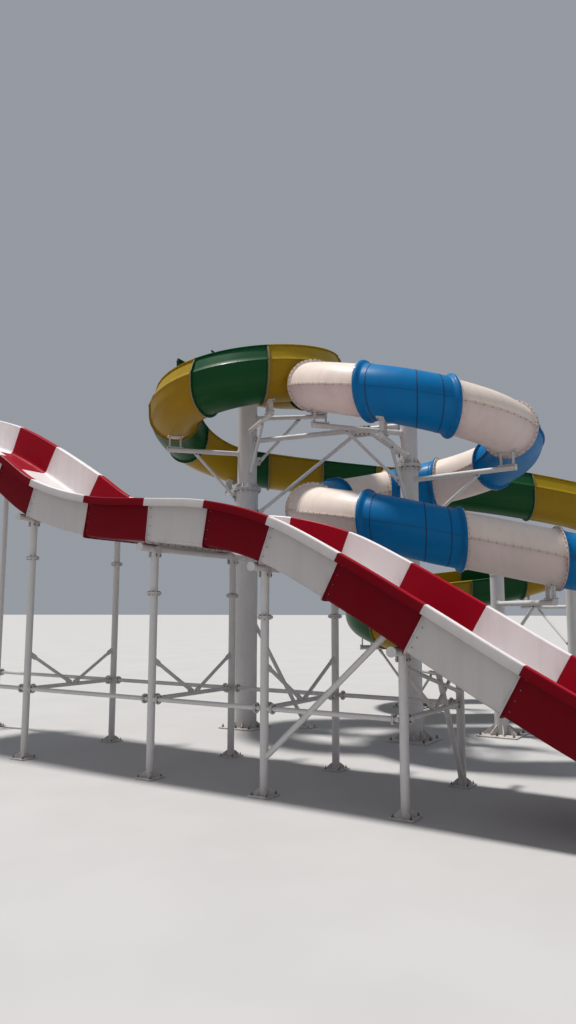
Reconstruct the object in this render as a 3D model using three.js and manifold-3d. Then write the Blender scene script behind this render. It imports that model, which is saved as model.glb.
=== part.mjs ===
// Water slide tower: two steel columns that carry a closed spiral tube and an open spiral
// flume, and in front of them a straight open wave slide on a row of steel trestles.
// Millimetres, +Z up, +X down the wave slide, +Y to the back. The origin is the middle of
// the underside of the main column's base plate, at ground level.
// The spirals have a compass of their own: 0 is the right-hand side, 90 is the back.
import * as THREE from 'three';
import { mergeVertices } from 'three/addons/utils/BufferGeometryUtils.js';
import Module from 'manifold-3d';

const wasm = await Module();
wasm.setup();

// Clearance between pieces that touch
const GAP = 0.3;
// Share of the rise in what counts as forwards along a cross section
const DIAGONAL_TILT = 0.15;
const ROUTE_SPARE = 10;                // straight length that a route has beyond its last joint

// Where the columns stand, as steps to the right and to the back of the main column
const COMPASS_TURN = 32;               // degrees from +X to compass 0
const MAIN_PLACE = [0, 0];
const FLUME_PLACE = [-3110, 1500];
const TUBE_PLACE = [70, 0];
const EXIT_PLACE = [1740, 600];
const BACK_LEFT_PLACE = [790, 4900];
const BACK_RIGHT_PLACE = [4740, 4900];

// Closed spiral tube
const TUBE_SIDES = 14;
const TUBE_INNER = 445;
const TUBE_OUTER = 460;
const TUBE_FLANGE = 520;
const TUBE_FLANGE_WIDTH = 30;
const BARREL_OUTER = 478;
const BARREL_COLLAR = 535;
const BARREL_COLLAR_WIDTH = 60;
const TUBE_RADIUS = 1870;
const TUBE_EXIT_SLOPE = 0.195;
const TUBE_START = 190;
const TUBE_LEAVES = 630;
// compass of each joint on the spiral, then steps along the straight exit
const TUBE_JOINTS = [190, 237, 280, 323, 383, 424, 459, 499, 541, 598];
const TUBE_EXIT_JOINTS = [430, 1970, 3470];
const TUBE_BARRELS = [1, 5, 9];        // which pieces are wide barrels
const TUBE_STEP = 18;                  // degrees between the tube's cross sections
// compass and height of the tube's middle down the spiral
const TUBE_HEIGHTS = [
  [190, 6430], [237, 5965], [285, 5600], [323, 5425], [383, 5175], [424, 4965], [459, 4755],
  [541, 4160], [598, 3765], [630, 3520],
];

// Open spiral flume
const FLUME_RADIUS = 1500;
const FLUME_BOWL = 480;                // radius of the round bottom
const FLUME_BOWL_FACES = 5;
const FLUME_SKIN = 14;
const FLUME_LOW_WALL = 700;
const FLUME_HIGH_WALL = 1000;
const FLUME_HALF_WIDTH = 490;          // inside, between the walls
const FLUME_CREASE = 670;              // height where the tall wall starts to lean in
const FLUME_CREASE_BELOW = 60;         // and at least this far below the rim
const FLUME_LEAN = 0.4;                // how far the tall wall leans in above its crease
const FLUME_RIM = 45;
const FLUME_RIM_FALL = 6;
// where the outer wall grows and shrinks again: distances from the start, from the run's start
// and from the exit's start
const LEFT_WALL_RISES = [300, 2400];
const LEFT_WALL_FALLS = [-900, 600];
const RIGHT_WALL_RISES = [2900, 5600];
const RIGHT_WALL_FALLS = [-500, 1500];
const FLUME_FLANGE = 40;
const FLUME_FLANGE_WIDTH = 24;
const FLUME_START = 146;
const FLUME_LEAVES = -266;
const FLUME_RUN = 7430;                // straight run to the right, behind the tube
const FLUME_RETURN = 2950;             // straight run back to the left
const FLUME_EXIT = 2930;
const FLUME_STEP = 22.5;
const FLUME_JOINTS = [146, 94, 41, -12, -76, -119, -169, -207, -256];
const FLUME_RUN_JOINTS = [500, 1700, 2900, 4150, 6500, 8050, 9860];
const FLUME_RETURN_JOINT = 1500;       // past the start of the run back
const FLUME_BEND_JOINTS = [950, 3300]; // past the start of the last bend
// height of the flume's bottom at the ends of its bends
const FLUME_HEIGHTS = {
  start: 7260, left: 5770, run: 5130, turn: 4250, back: 2650, last: 2200, exit: 1150, end: 450,
};

// Wave slide: a straight open channel
const WAVE_MIDDLE_Y = -4140;
const WAVE_WIDTH = 2300;               // over the folded lips
const WAVE_LIP = 130;
const WAVE_LIP_DROP = 110;
const WAVE_DEPTH = 580;
const WAVE_SKIN = 16;
const WAVE_FLANGE = 36;
const WAVE_FLANGE_WIDTH = 26;
const WAVE_WALL_LEAN = 12;             // each side wall is this much closer to the middle at its foot
const WAVE_CORNER = 60;                // slanted corner between side wall and bottom
const WAVE_STEP = 600;                 // between the slide's cross sections
// lip line: distance along X and height at each joint
const WAVE_JOINTS = [
  [-8300, 6370], [-7150, 6000], [-6060, 5470], [-4870, 4800], [-4090, 4330], [-2900, 3980],
  [-1720, 3850], [-667, 3740], [342, 3460], [1320, 2970], [2370, 2370], [3410, 1760],
  [4450, 1220], [5500, 860],
];

// Steelwork
const PIPE_SIDES = 8;
const COLUMN_SIDES = 16;
const COLUMN_RADIUS = 165;
const FLUME_COLUMN_RADIUS = 200;
const FLUME_COLUMN_FOOT_RADIUS = 230;
const SMALL_COLUMN_RADIUS = 130;
const SPLICE_RADIUS = 240;
const FLUME_SPLICE_RADIUS = 290;
const SPLICE_THICKNESS = 60;
const BASE_PLATE = 760;
const BASE_PLATE_THICKNESS = 30;
const MAIN_HEIGHT = 6000;
const MAIN_SPLICE_HEIGHT = 4985;
const FLUME_COLUMN_HEIGHT = 7080;
const FLUME_SPLICE_HEIGHT = 4770;
const ARM_RADIUS = 55;
const BRACE_RADIUS = 38;
const ARM_ROOT = 0.6;                  // share of the column's radius where an arm's bar starts
const ARM_BEYOND = 160;                // from the middle of the slide to the arm's free end
const CRADLE_WIDTH = 120;
const CRADLE_THICKNESS = 14;
const CRADLE_SINK = 12;                // into the slide, before the slide's shape is cut away
const CRADLE_RISE = 250;               // from the arm's middle to the cradle
const CRADLE_BEFORE = 130;             // from the middle of a cradle to the next joint
const STAND_RADIUS = 32;
const STAND_OFF = 110;
const STAND_ABOVE = 75;                // uncut stands reach this far above the cradle's lowest line
const BRACE_FALL = 900;
const BRACE_LOWEST = 200;
const BRACE_REACH = 0.72;              // share of the arm that its brace takes
const MAIN_ARMS = [204, 250, 323, 459, 541, 612];
const FLUME_ARMS = [94, -12, -76, -169, -256];
const EXIT_COLUMN_HEIGHT = 3000;
const LEG_HEIGHT = 2400;               // where the raking leg leaves the flume's column
const LEG_REACH = 1220;
const LINK_HEIGHT = 5780;
const LINK_LOW_BRACE = 4260;           // on the flume column's lower part
const LINK_FAR_BRACE = 5250;           // on the main column
const LINK_LOW_REACH = 0.745;          // share of the strut where each brace meets it
const LINK_FAR_REACH = 0.775;
const LINK_RADIUS = 50;
const LINK_BRACE_RADIUS = 34;
const SHOE_RADIUS = 95;
const SHOE_THICKNESS = 46;
const SHOE_SINK = 16;                  // into the column, before the column's shape is cut away

// Trestles under the wave slide
const TRESTLE_XS = [-7500, -4200, -1830, 240, 2260, 4300];
const NEAR_POST_Y = -4840;
const FAR_POST_Y = -2950;
const POST_RADIUS = 55;
const POST_SPLICE_RADIUS = 105;
const POST_SPLICE_THICKNESS = 50;
const POST_SPLICE_BELOW = 640;         // below the cross beam
const CROSS_BEAM_RADIUS = 55;
const CROSS_BEAM_OVERHANG = 330;
const RAIL_HEIGHT = 1070;
const RAIL_RADIUS = 32;
const RAIL_END_HEIGHT = 200;           // no rail to a trestle less than this above the rail
const TIE_BELOW_BEAM = 300;
const BRACE_RISE = 560;                // of the short braces above the tie between two posts
const BRACED_HEIGHT = 1500;            // lower trestles have no short braces
const SHORT_BRACE_RADIUS = 26;
const BEAM_DROP = 30;                  // of the cross beam's top below the slide
const PAD_HALF_WIDTH = 700;
const PAD_HALF_LENGTH = 60;
const PAD_THICKNESS = 45;
const STRUTTED_TRESTLE = 4;            // counted from 0: has struts between its posts
const STRUT_FOOT = 60;
const THIN_STRUT_BELOW = 180;
const THIN_STRUT_ABOVE_TIE = 150;
const RAKED_TRESTLE = 3;               // counted from 0: has a raking brace down the slide
const RAKE_FOOT = 450;
const RAKE_AT = 2030;                  // along the slide
const FOOT_PLATE = 300;
const FOOT_PLATE_THICKNESS = 20;
const LEG_PLATE_THICKNESS = 25;

const COLOURS = {
  cream: { color: 0xe6d8cf, roughness: 0.35, metalness: 0 },
  blue: { color: 0x1565ad, roughness: 0.35, metalness: 0 },
  green: { color: 0x15532a, roughness: 0.35, metalness: 0 },
  yellow: { color: 0xb08a1a, roughness: 0.35, metalness: 0 },
  red: { color: 0x7d0a1e, roughness: 0.3, metalness: 0 },
  white: { color: 0xd8cccc, roughness: 0.35, metalness: 0 },
  steel: { color: 0xc8c3c2, roughness: 0.5, metalness: 0.2 },
};

const tower = new THREE.Group();
const radians = THREE.MathUtils.degToRad;

// One closed body from a geometry, with its shared corners merged
function solid(geometry) {
  const bare = geometry.clone();
  bare.deleteAttribute('normal');
  bare.deleteAttribute('uv');
  const merged = mergeVertices(bare, 0.001);
  const index = [];
  for (let i = 0; i < merged.index.count; i += 3) {
    const corners = [0, 1, 2].map((k) => merged.index.getX(i + k));
    if (new Set(corners).size === 3) index.push(...corners);
  }
  const body = new wasm.Manifold(new wasm.Mesh({
    numProp: 3,
    vertProperties: Float32Array.from(merged.attributes.position.array),
    triVerts: Uint32Array.from(index),
  }));
  return body;
}

function join(bodies) {
  return bodies.reduce((sum, body) => sum.add(body));
}

// Adds a body to the tower as a named mesh
function place(name, body, colour) {
  const mesh = body.getMesh();
  const geometry = new THREE.BufferGeometry();
  geometry.setAttribute('position', new THREE.BufferAttribute(new Float32Array(mesh.vertProperties), 3));
  geometry.setIndex(new THREE.BufferAttribute(new Uint32Array(mesh.triVerts), 1));
  geometry.computeVertexNormals();
  const item = new THREE.Mesh(geometry, new THREE.MeshStandardMaterial(COLOURS[colour]));
  item.name = name;
  tower.add(item);
}

// Straight round bar from one point to another
function bar(from, to, radius, sides = PIPE_SIDES) {
  const along = new THREE.Vector3().subVectors(to, from);
  const geometry = new THREE.CylinderGeometry(radius, radius, along.length(), sides);
  const turn = new THREE.Quaternion().setFromUnitVectors(
    new THREE.Vector3(0, 1, 0),
    along.clone().normalize(),
  );
  geometry.applyQuaternion(turn);
  geometry.translate(...new THREE.Vector3().addVectors(from, to).multiplyScalar(0.5).toArray());
  return solid(geometry);
}

function plate(width, depth, height, x, y, bottom) {
  const geometry = new THREE.BoxGeometry(width, depth, height);
  geometry.translate(x, y, bottom + height / 2);
  return solid(geometry);
}

// Point given by steps to the right and to the back on the spirals' compass
function towerPoint([right, back], z = 0) {
  const turn = radians(COMPASS_TURN);
  const x = right * Math.cos(turn) - back * Math.sin(turn);
  const y = right * Math.sin(turn) + back * Math.cos(turn);
  return new THREE.Vector3(x, y, z);
}

function aroundPlace(centre, radius, compass) {
  const angle = radians(compass);
  return [centre[0] + radius * Math.cos(angle), centre[1] + radius * Math.sin(angle)];
}

// Route of a slide: cross sections along it, with straight lines between them
class Route {
  constructor(samples) {
    this.samples = samples;
  }

  // point, left-hand side and upward direction at a distance along the route
  frame(distance) {
    const samples = this.samples;
    let k = 1;
    while (k < samples.length - 1 && samples[k].distance < distance) k += 1;
    const a = samples[k - 1];
    const b = samples[k];
    const t = (distance - a.distance) / (b.distance - a.distance);
    return {
      point: a.point.clone().lerp(b.point, t),
      left: a.left.clone().lerp(b.left, t),
      up: a.up.clone().lerp(b.up, t),
    };
  }

  between(start, end) {
    const inner = this.samples.map((sample) => sample.distance);
    return [start, ...inner.filter((distance) => distance > start + 1 && distance < end - 1), end];
  }
}

// Route from a plan of bends and straights, with its height as a function of distance. Its
// cross sections stand plumb, as the joints of the spirals do.
function routeFromPlan(start, heading, legs, distances, heightAt) {
  const point = (distance) => {
    let left = distance;
    let [x, y] = start;
    let angle = radians(heading);
    for (const leg of legs) {
      const run = Math.min(left, leg.length);
      if (leg.radius) {
        const turned = (run / leg.radius) * leg.side;
        x += leg.radius * leg.side * (Math.sin(angle + turned) - Math.sin(angle));
        y -= leg.radius * leg.side * (Math.cos(angle + turned) - Math.cos(angle));
        angle += turned;
      } else {
        x += run * Math.cos(angle);
        y += run * Math.sin(angle);
      }
      left -= run;
      if (left <= 0) break;
    }
    return { place: towerPoint([x, y], heightAt(distance)), angle: angle + radians(COMPASS_TURN) };
  };
  const samples = distances.map((distance) => {
    const { place: here, angle } = point(distance);
    const left = new THREE.Vector3(-Math.sin(angle), Math.cos(angle), 0);
    return { distance, point: here, left, up: new THREE.Vector3(0, 0, 1) };
  });
  return new Route(samples);
}

// Distances with no step between them longer than a limit
function subdivide(joints, limit) {
  const all = [];
  for (let k = 0; k < joints.length - 1; k += 1) {
    const steps = Math.max(1, Math.round((joints[k + 1] - joints[k]) / limit));
    for (let i = 0; i < steps; i += 1) {
      all.push(joints[k] + ((joints[k + 1] - joints[k]) * i) / steps);
    }
  }
  all.push(joints[joints.length - 1]);
  return all;
}

// Closed body swept along a route. Each station has a distance and its own outline,
// and a hole outline where the body is a pipe. The two faces of a skin run opposite ways
// round the outline, and get the same diagonals so that they stay the skin's thickness apart.
function sweep(route, givenStations) {
  const turned = THREE.ShapeUtils.isClockWise(givenStations[0].outline);
  const stations = givenStations.map((station) => ({
    ...station,
    outline: turned ? [...station.outline].reverse() : station.outline,
  }));
  const contour = stations[0].outline;
  const hole = stations[0].hole;
  const flat = hole ? [...contour, ...hole] : contour;
  const count = flat.length;
  const positions = [];
  for (const station of stations) {
    const { point, left, up } = route.frame(station.distance);
    for (const corner of [...station.outline, ...(station.hole ?? [])]) {
      const at = point.clone().addScaledVector(left, corner.x).addScaledVector(up, corner.y);
      positions.push(at.x, at.y, at.z);
    }
  }
  const index = [];
  const loops = [[0, contour.length]];
  if (hole) loops.push([contour.length, count]);
  for (let k = 0; k < stations.length - 1; k += 1) {
    for (const [first, last] of loops) {
      for (let i = first; i < last; i += 1) {
        const next = i + 1 < last ? i + 1 : first;
        const a = k * count + i;
        const b = k * count + next;
        const step = flat[next].clone().sub(flat[i]);
        if (step.x + DIAGONAL_TILT * step.y > 0) index.push(a, b, a + count, b, b + count, a + count);
        else index.push(a, b, b + count, a, b + count, a + count);
      }
    }
  }
  for (const face of THREE.ShapeUtils.triangulateShape(contour, hole ? [hole] : [])) {
    const [p, q, r] = face.map((i) => flat[i]);
    const turn = (q.x - p.x) * (r.y - p.y) - (q.y - p.y) * (r.x - p.x);
    const [a, b, c] = turn > 0 ? face : [face[0], face[2], face[1]];
    const end = (stations.length - 1) * count;
    index.push(a, c, b, a + end, b + end, c + end);
  }
  const geometry = new THREE.BufferGeometry();
  geometry.setAttribute('position', new THREE.Float32BufferAttribute(positions, 3));
  geometry.setIndex(index);
  return solid(geometry);
}

// Ring of corners, the first one at the lowest point, counterclockwise
function circle(radius, sides) {
  const corners = [];
  for (let i = 0; i < sides; i += 1) {
    const angle = (i / sides) * 2 * Math.PI - Math.PI / 2;
    corners.push(new THREE.Vector2(radius * Math.cos(angle), radius * Math.sin(angle)));
  }
  return corners;
}

// Line of corners moved sideways by a distance, with mitred corners
function offsetLine(line, distance) {
  return line.map((corner, i) => {
    const before = line[Math.max(i - 1, 0)];
    const after = line[Math.min(i + 1, line.length - 1)];
    const into = corner.clone().sub(before);
    const out = after.clone().sub(corner);
    if (into.length() === 0) into.copy(out);
    if (out.length() === 0) out.copy(into);
    into.normalize();
    out.normalize();
    const normal = new THREE.Vector2(into.y + out.y, -into.x - out.x).normalize();
    const stretch = 1 / Math.max(0.5, normal.dot(new THREE.Vector2(into.y, -into.x)));
    return corner.clone().addScaledVector(normal, distance * stretch);
  });
}

// Closed outline of a thin skin, whose outer face stands out by a further amount
function skinOutline(line, thickness, proud) {
  return [...offsetLine(line, thickness + proud), ...[...line].reverse()];
}

// Heights of the tube and of the flume along their routes

const TUBE_DEGREE = radians(1) * TUBE_RADIUS;
const FLUME_DEGREE = radians(1) * FLUME_RADIUS;

const tubeArc = (TUBE_LEAVES - TUBE_START) * TUBE_DEGREE;
const tubeKnots = TUBE_HEIGHTS.map(([compass, height]) => [(compass - TUBE_START) * TUBE_DEGREE, height]);

function tubeHeight(distance) {
  const straight = Math.max(0, distance - tubeArc);
  return smoothHeight(tubeKnots, distance - straight) - TUBE_EXIT_SLOPE * straight;
}

const flumeBendLength = Math.PI * FLUME_RADIUS;
const flumeRunStart = (FLUME_START - FLUME_LEAVES) * FLUME_DEGREE;
const flumeTurnStart = flumeRunStart + FLUME_RUN;
const flumeBackStart = flumeTurnStart + flumeBendLength;
const flumeLastStart = flumeBackStart + FLUME_RETURN;
const flumeExitStart = flumeLastStart + flumeBendLength;
const flumeEnd = flumeExitStart + FLUME_EXIT;
const flumeKnots = [
  [0, FLUME_HEIGHTS.start], [(FLUME_START + 169) * FLUME_DEGREE, FLUME_HEIGHTS.left],
  [flumeRunStart, FLUME_HEIGHTS.run],
  [flumeTurnStart, FLUME_HEIGHTS.turn], [flumeBackStart, FLUME_HEIGHTS.back],
  [flumeLastStart, FLUME_HEIGHTS.last], [flumeExitStart, FLUME_HEIGHTS.exit],
  [flumeEnd, FLUME_HEIGHTS.end],
];

// Smooth curve through knots of distance and height
function smoothHeight(knots, distance) {
  let k = 1;
  while (k < knots.length - 1 && knots[k][0] < distance) k += 1;
  const slopeAt = (i) => {
    const before = knots[Math.max(i - 1, 0)];
    const after = knots[Math.min(i + 1, knots.length - 1)];
    return (after[1] - before[1]) / (after[0] - before[0]);
  };
  const [s0, z0] = knots[k - 1];
  const [s1, z1] = knots[k];
  const span = s1 - s0;
  const t = (distance - s0) / span;
  return (2 * t ** 3 - 3 * t ** 2 + 1) * z0 + (t ** 3 - 2 * t ** 2 + t) * span * slopeAt(k - 1)
    + (3 * t ** 2 - 2 * t ** 3) * z1 + (t ** 3 - t ** 2) * span * slopeAt(k);
}

// Share of the way from one distance to another, eased at both ends
function ease(distance, [from, to]) {
  return THREE.MathUtils.smoothstep(distance, from, to);
}

function flumeLeftWall(distance) {
  const rise = ease(distance, LEFT_WALL_RISES) * (1 - ease(distance - flumeRunStart, LEFT_WALL_FALLS));
  return FLUME_LOW_WALL + (FLUME_HIGH_WALL - FLUME_LOW_WALL) * rise;
}

function flumeRightWall(distance) {
  const rise = ease(distance - flumeRunStart, RIGHT_WALL_RISES)
    * (1 - ease(distance - flumeExitStart, RIGHT_WALL_FALLS));
  return FLUME_LOW_WALL + (FLUME_HIGH_WALL - FLUME_LOW_WALL) * rise;
}

// Inner line of the flume's skin, from the right-hand rim over the bottom to the left-hand rim
function flumeLine(distance, rim = FLUME_RIM) {
  const wall = (side, height) => {
    const crease = Math.min(FLUME_CREASE, height - FLUME_CREASE_BELOW);
    const lip = FLUME_HALF_WIDTH - (height - crease) * FLUME_LEAN * (height / FLUME_HIGH_WALL);
    return [
      new THREE.Vector2(side * (lip + rim), height - FLUME_RIM_FALL),
      new THREE.Vector2(side * lip, height),
      new THREE.Vector2(side * FLUME_HALF_WIDTH, crease),
    ];
  };
  const bowl = [];
  for (let i = 0; i <= FLUME_BOWL_FACES; i += 1) {
    const angle = Math.PI + (i / FLUME_BOWL_FACES) * Math.PI;
    bowl.push(new THREE.Vector2(FLUME_BOWL * Math.cos(angle), FLUME_BOWL * (1 + Math.sin(angle))));
  }
  return [
    ...wall(-1, flumeRightWall(distance)),
    ...bowl,
    ...wall(1, flumeLeftWall(distance)).reverse(),
  ];
}

// Closed outline of the flume's skin. A flange that stands proud takes in the rims.
function flumeOutline(distance, proud) {
  const line = flumeLine(distance, proud ? FLUME_SKIN + proud : FLUME_RIM);
  const outer = offsetLine(line, FLUME_SKIN + proud);
  const last = line.length - 1;
  for (const [tip, lip] of [[0, 1], [last, last - 1]]) {
    outer[tip] = new THREE.Vector2(line[tip].x, line[tip].y - FLUME_SKIN);
    if (proud) outer[lip] = new THREE.Vector2(line[tip].x, line[lip].y - FLUME_SKIN - proud / 2);
  }
  return [...outer, ...line.reverse()];
}

// Inner line of the wave slide's skin, with folded lips
function waveLine() {
  const half = WAVE_WIDTH / 2;
  const inside = half - WAVE_LIP;
  const side = [
    [half, -WAVE_LIP_DROP], [half, 0], [inside, 0],
    [inside - WAVE_WALL_LEAN, -WAVE_DEPTH + WAVE_CORNER],
    [inside - WAVE_CORNER, -WAVE_DEPTH],
  ];
  const right = side.map(([x, y]) => new THREE.Vector2(-x, y));
  const left = side.map(([x, y]) => new THREE.Vector2(x, y)).reverse();
  return [...right, ...left];
}

// Routes
const tubeJoints = [
  ...TUBE_JOINTS.map((compass) => (compass - TUBE_START) * TUBE_DEGREE),
  ...TUBE_EXIT_JOINTS.map((along) => tubeArc + along),
];
const tubeRoute = routeFromPlan(
  aroundPlace(TUBE_PLACE, TUBE_RADIUS, TUBE_START), TUBE_START + 90,
  [
    { length: tubeArc, radius: TUBE_RADIUS, side: 1 },
    { length: TUBE_EXIT_JOINTS[2] + ROUTE_SPARE },
  ],
  subdivide(tubeJoints, TUBE_STEP * TUBE_DEGREE), tubeHeight,
);

const flumeJoints = [
  ...FLUME_JOINTS.map((compass) => (FLUME_START - compass) * FLUME_DEGREE),
  ...FLUME_RUN_JOINTS.map((along) => flumeRunStart + along),
  flumeBackStart, flumeBackStart + FLUME_RETURN_JOINT,
  ...FLUME_BEND_JOINTS.map((along) => flumeLastStart + along),
  flumeExitStart, flumeEnd,
];
const flumeRoute = routeFromPlan(
  aroundPlace(FLUME_PLACE, FLUME_RADIUS, FLUME_START), FLUME_START - 90,
  [
    { length: flumeRunStart, radius: FLUME_RADIUS, side: -1 },
    { length: FLUME_RUN },
    { length: flumeBendLength, radius: FLUME_RADIUS, side: 1 },
    { length: FLUME_RETURN },
    { length: flumeBendLength, radius: FLUME_RADIUS, side: 1 },
    { length: FLUME_EXIT + ROUTE_SPARE },
  ],
  subdivide(flumeJoints, FLUME_STEP * FLUME_DEGREE), (distance) => smoothHeight(flumeKnots, distance),
);

function makeWaveRoute() {
  const curve = (x) => smoothHeight(WAVE_JOINTS, x);
  const xs = subdivide(WAVE_JOINTS.map((joint) => joint[0]), WAVE_STEP);
  const samples = xs.map((x) => {
    const slope = (curve(x + 1) - curve(x - 1)) / 2;
    const along = new THREE.Vector3(1, 0, slope).normalize();
    const left = new THREE.Vector3(0, 1, 0);
    const up = new THREE.Vector3().crossVectors(along, left);
    return { distance: x, point: new THREE.Vector3(x, WAVE_MIDDLE_Y, curve(x)), left, up };
  });
  return new Route(samples);
}
const waveRoute = makeWaveRoute();

// Distances along the flume where the columns behind carry it
const BACK_LEFT_ARMS = [
  flumeRunStart + FLUME_RUN_JOINTS[3] - CRADLE_BEFORE, flumeLastStart - CRADLE_BEFORE,
  flumeLastStart + flumeBendLength / 2, flumeExitStart - CRADLE_BEFORE,
];
const BACK_RIGHT_ARMS = [
  flumeRunStart + FLUME_RUN_JOINTS[5] - CRADLE_BEFORE, flumeRunStart + FLUME_RUN_JOINTS[6] - CRADLE_BEFORE,
  flumeBackStart - CRADLE_BEFORE,
];

// Closed tube pieces

function tubePiece(start, end, body, collar, collarWidth) {
  const from = start + GAP / 2;
  const to = end - GAP / 2;
  const ring = (distance, radius) => ({
    distance,
    outline: circle(radius, TUBE_SIDES),
    hole: circle(TUBE_INNER, TUBE_SIDES).reverse(),
  });
  const middle = tubeRoute.between(from + collarWidth, to - collarWidth);
  return sweep(tubeRoute, [
    ring(from, collar),
    ring(from + collarWidth, collar),
    ...middle.map((distance) => ring(distance, body)),
    ring(to - collarWidth, collar),
    ring(to, collar),
  ]);
}

function makeTube() {
  for (let k = 0; k < tubeJoints.length - 1; k += 1) {
    const isBarrel = TUBE_BARRELS.includes(k);
    const piece = tubePiece(
      tubeJoints[k], tubeJoints[k + 1],
      isBarrel ? BARREL_OUTER : TUBE_OUTER,
      isBarrel ? BARREL_COLLAR : TUBE_FLANGE,
      isBarrel ? BARREL_COLLAR_WIDTH : TUBE_FLANGE_WIDTH,
    );
    const kind = isBarrel ? 'tube_barrel' : 'tube_section';
    place(`${kind}_${String(k + 1).padStart(2, '0')}`, piece, k % 2 ? 'blue' : 'cream');
  }
}

// Open flume pieces
function flumePiece(start, end) {
  const from = start + GAP / 2;
  const to = end - GAP / 2;
  const station = (distance, proud) => ({
    distance,
    outline: flumeOutline(distance, proud),
  });
  return sweep(flumeRoute, [
    ...flumeRoute.between(from, to - FLUME_FLANGE_WIDTH).map((distance) => station(distance, 0)),
    station(to - FLUME_FLANGE_WIDTH, FLUME_FLANGE),
    station(to, FLUME_FLANGE),
  ]);
}

function makeFlume() {
  for (let k = 0; k < flumeJoints.length - 1; k += 1) {
    const piece = flumePiece(flumeJoints[k], flumeJoints[k + 1]);
    place(`flume_section_${String(k + 1).padStart(2, '0')}`, piece, k % 2 ? 'yellow' : 'green');
  }
}

// Wave slide pieces
function wavePiece(start, end) {
  const from = start + GAP / 2;
  const to = end - GAP / 2;
  const station = (distance, proud) => ({
    distance,
    outline: skinOutline(waveLine(), WAVE_SKIN, proud),
  });
  return sweep(waveRoute, [
    ...waveRoute.between(from, to - WAVE_FLANGE_WIDTH).map((distance) => station(distance, 0)),
    station(to - WAVE_FLANGE_WIDTH, WAVE_FLANGE),
    station(to, WAVE_FLANGE),
  ]);
}

function makeWaveSlide() {
  for (let k = 0; k < WAVE_JOINTS.length - 1; k += 1) {
    const piece = wavePiece(WAVE_JOINTS[k][0], WAVE_JOINTS[k + 1][0]);
    place(`wave_section_${String(k + 1).padStart(2, '0')}`, piece, k % 2 ? 'red' : 'white');
  }
}

// Steel columns with their arms

// Filled outer shape of the piece around a distance, with the same faces as the piece has
function filledPiece(route, joints, distance, startWidth, endWidth, outline) {
  const k = joints.findIndex((joint) => joint > distance);
  const stations = route.between(joints[k - 1] + GAP / 2 + startWidth, joints[k] - GAP / 2 - endWidth);
  return sweep(route, stations.map((at) => ({ distance: at, outline })));
}

// Curved strip under a slide and the stands below it, seated on the piece's own faces. The line
// holds the corners of the piece's skin.
function cradle(route, distance, line, piece, stands) {
  const outline = [...offsetLine(line, -CRADLE_SINK), ...offsetLine(line, CRADLE_THICKNESS).reverse()];
  const stations = route.between(distance - CRADLE_WIDTH / 2, distance + CRADLE_WIDTH / 2);
  const strip = sweep(route, stations.map((at) => ({ distance: at, outline })));
  return join([strip, ...stands]).subtract(piece);
}

function tubeCradle(distance, isBarrel, stands) {
  const corners = circle((isBarrel ? BARREL_OUTER : TUBE_OUTER) + GAP, TUBE_SIDES);
  const line = [corners[TUBE_SIDES - 1], corners[0], corners[1]];
  const width = isBarrel ? BARREL_COLLAR_WIDTH : TUBE_FLANGE_WIDTH;
  const piece = filledPiece(tubeRoute, tubeJoints, distance, width, width, corners);
  return cradle(tubeRoute, distance, line, piece, stands);
}

function flumeCradle(distance, stands) {
  const skin = offsetLine(flumeLine(distance), FLUME_SKIN + GAP);
  const piece = filledPiece(flumeRoute, flumeJoints, distance, 0, FLUME_FLANGE_WIDTH, skin.slice(3, 9));
  return cradle(flumeRoute, distance, skin.slice(5, 7), piece, stands);
}

// Arm from a column to the cradle under a slide, with a brace below it
function arm(centre, columnRadius, route, distance, below, makeCradle) {
  const frame = route.frame(distance);
  const under = frame.point.clone().addScaledVector(frame.up, -below);
  const height = under.z - CRADLE_RISE;
  const foot = towerPoint(centre, height);
  const tip = new THREE.Vector3(under.x, under.y, height);
  const outward = tip.clone().sub(foot).normalize();
  const root = foot.clone().addScaledVector(outward, columnRadius * ARM_ROOT);
  const end = tip.clone().addScaledVector(outward, ARM_BEYOND);
  const braceTop = foot.clone().lerp(tip, BRACE_REACH);
  const braceFoot = root.clone().setZ(Math.max(height - BRACE_FALL, BRACE_LOWEST));
  const stand = (shift) => {
    const bottom = tip.clone().addScaledVector(outward, shift);
    return bar(bottom, bottom.clone().setZ(under.z + STAND_ABOVE), STAND_RADIUS, 4);
  };
  return join([
    bar(root, end, ARM_RADIUS),
    bar(braceFoot, braceTop, BRACE_RADIUS, 6),
    makeCradle(distance, [stand(-STAND_OFF), stand(STAND_OFF)]),
  ]);
}

function column(centre, parts) {
  const base = towerPoint(centre);
  const bodies = [plate(BASE_PLATE, BASE_PLATE, BASE_PLATE_THICKNESS, base.x, base.y, 0)];
  for (const [bottom, top, radius] of parts) {
    bodies.push(bar(towerPoint(centre, bottom), towerPoint(centre, top), radius, COLUMN_SIDES));
  }
  return bodies;
}

function tubeArm(centre, columnRadius, distance) {
  const isBarrel = TUBE_BARRELS.some((k) => distance > tubeJoints[k] && distance < tubeJoints[k + 1]);
  const below = (isBarrel ? BARREL_OUTER : TUBE_OUTER) + CRADLE_THICKNESS;
  return arm(centre, columnRadius, tubeRoute, distance, below,
    (at, stands) => tubeCradle(at, isBarrel, stands));
}

function flumeArm(centre, columnRadius, distance) {
  return arm(centre, columnRadius, flumeRoute, distance, FLUME_SKIN + CRADLE_THICKNESS, flumeCradle);
}

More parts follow.
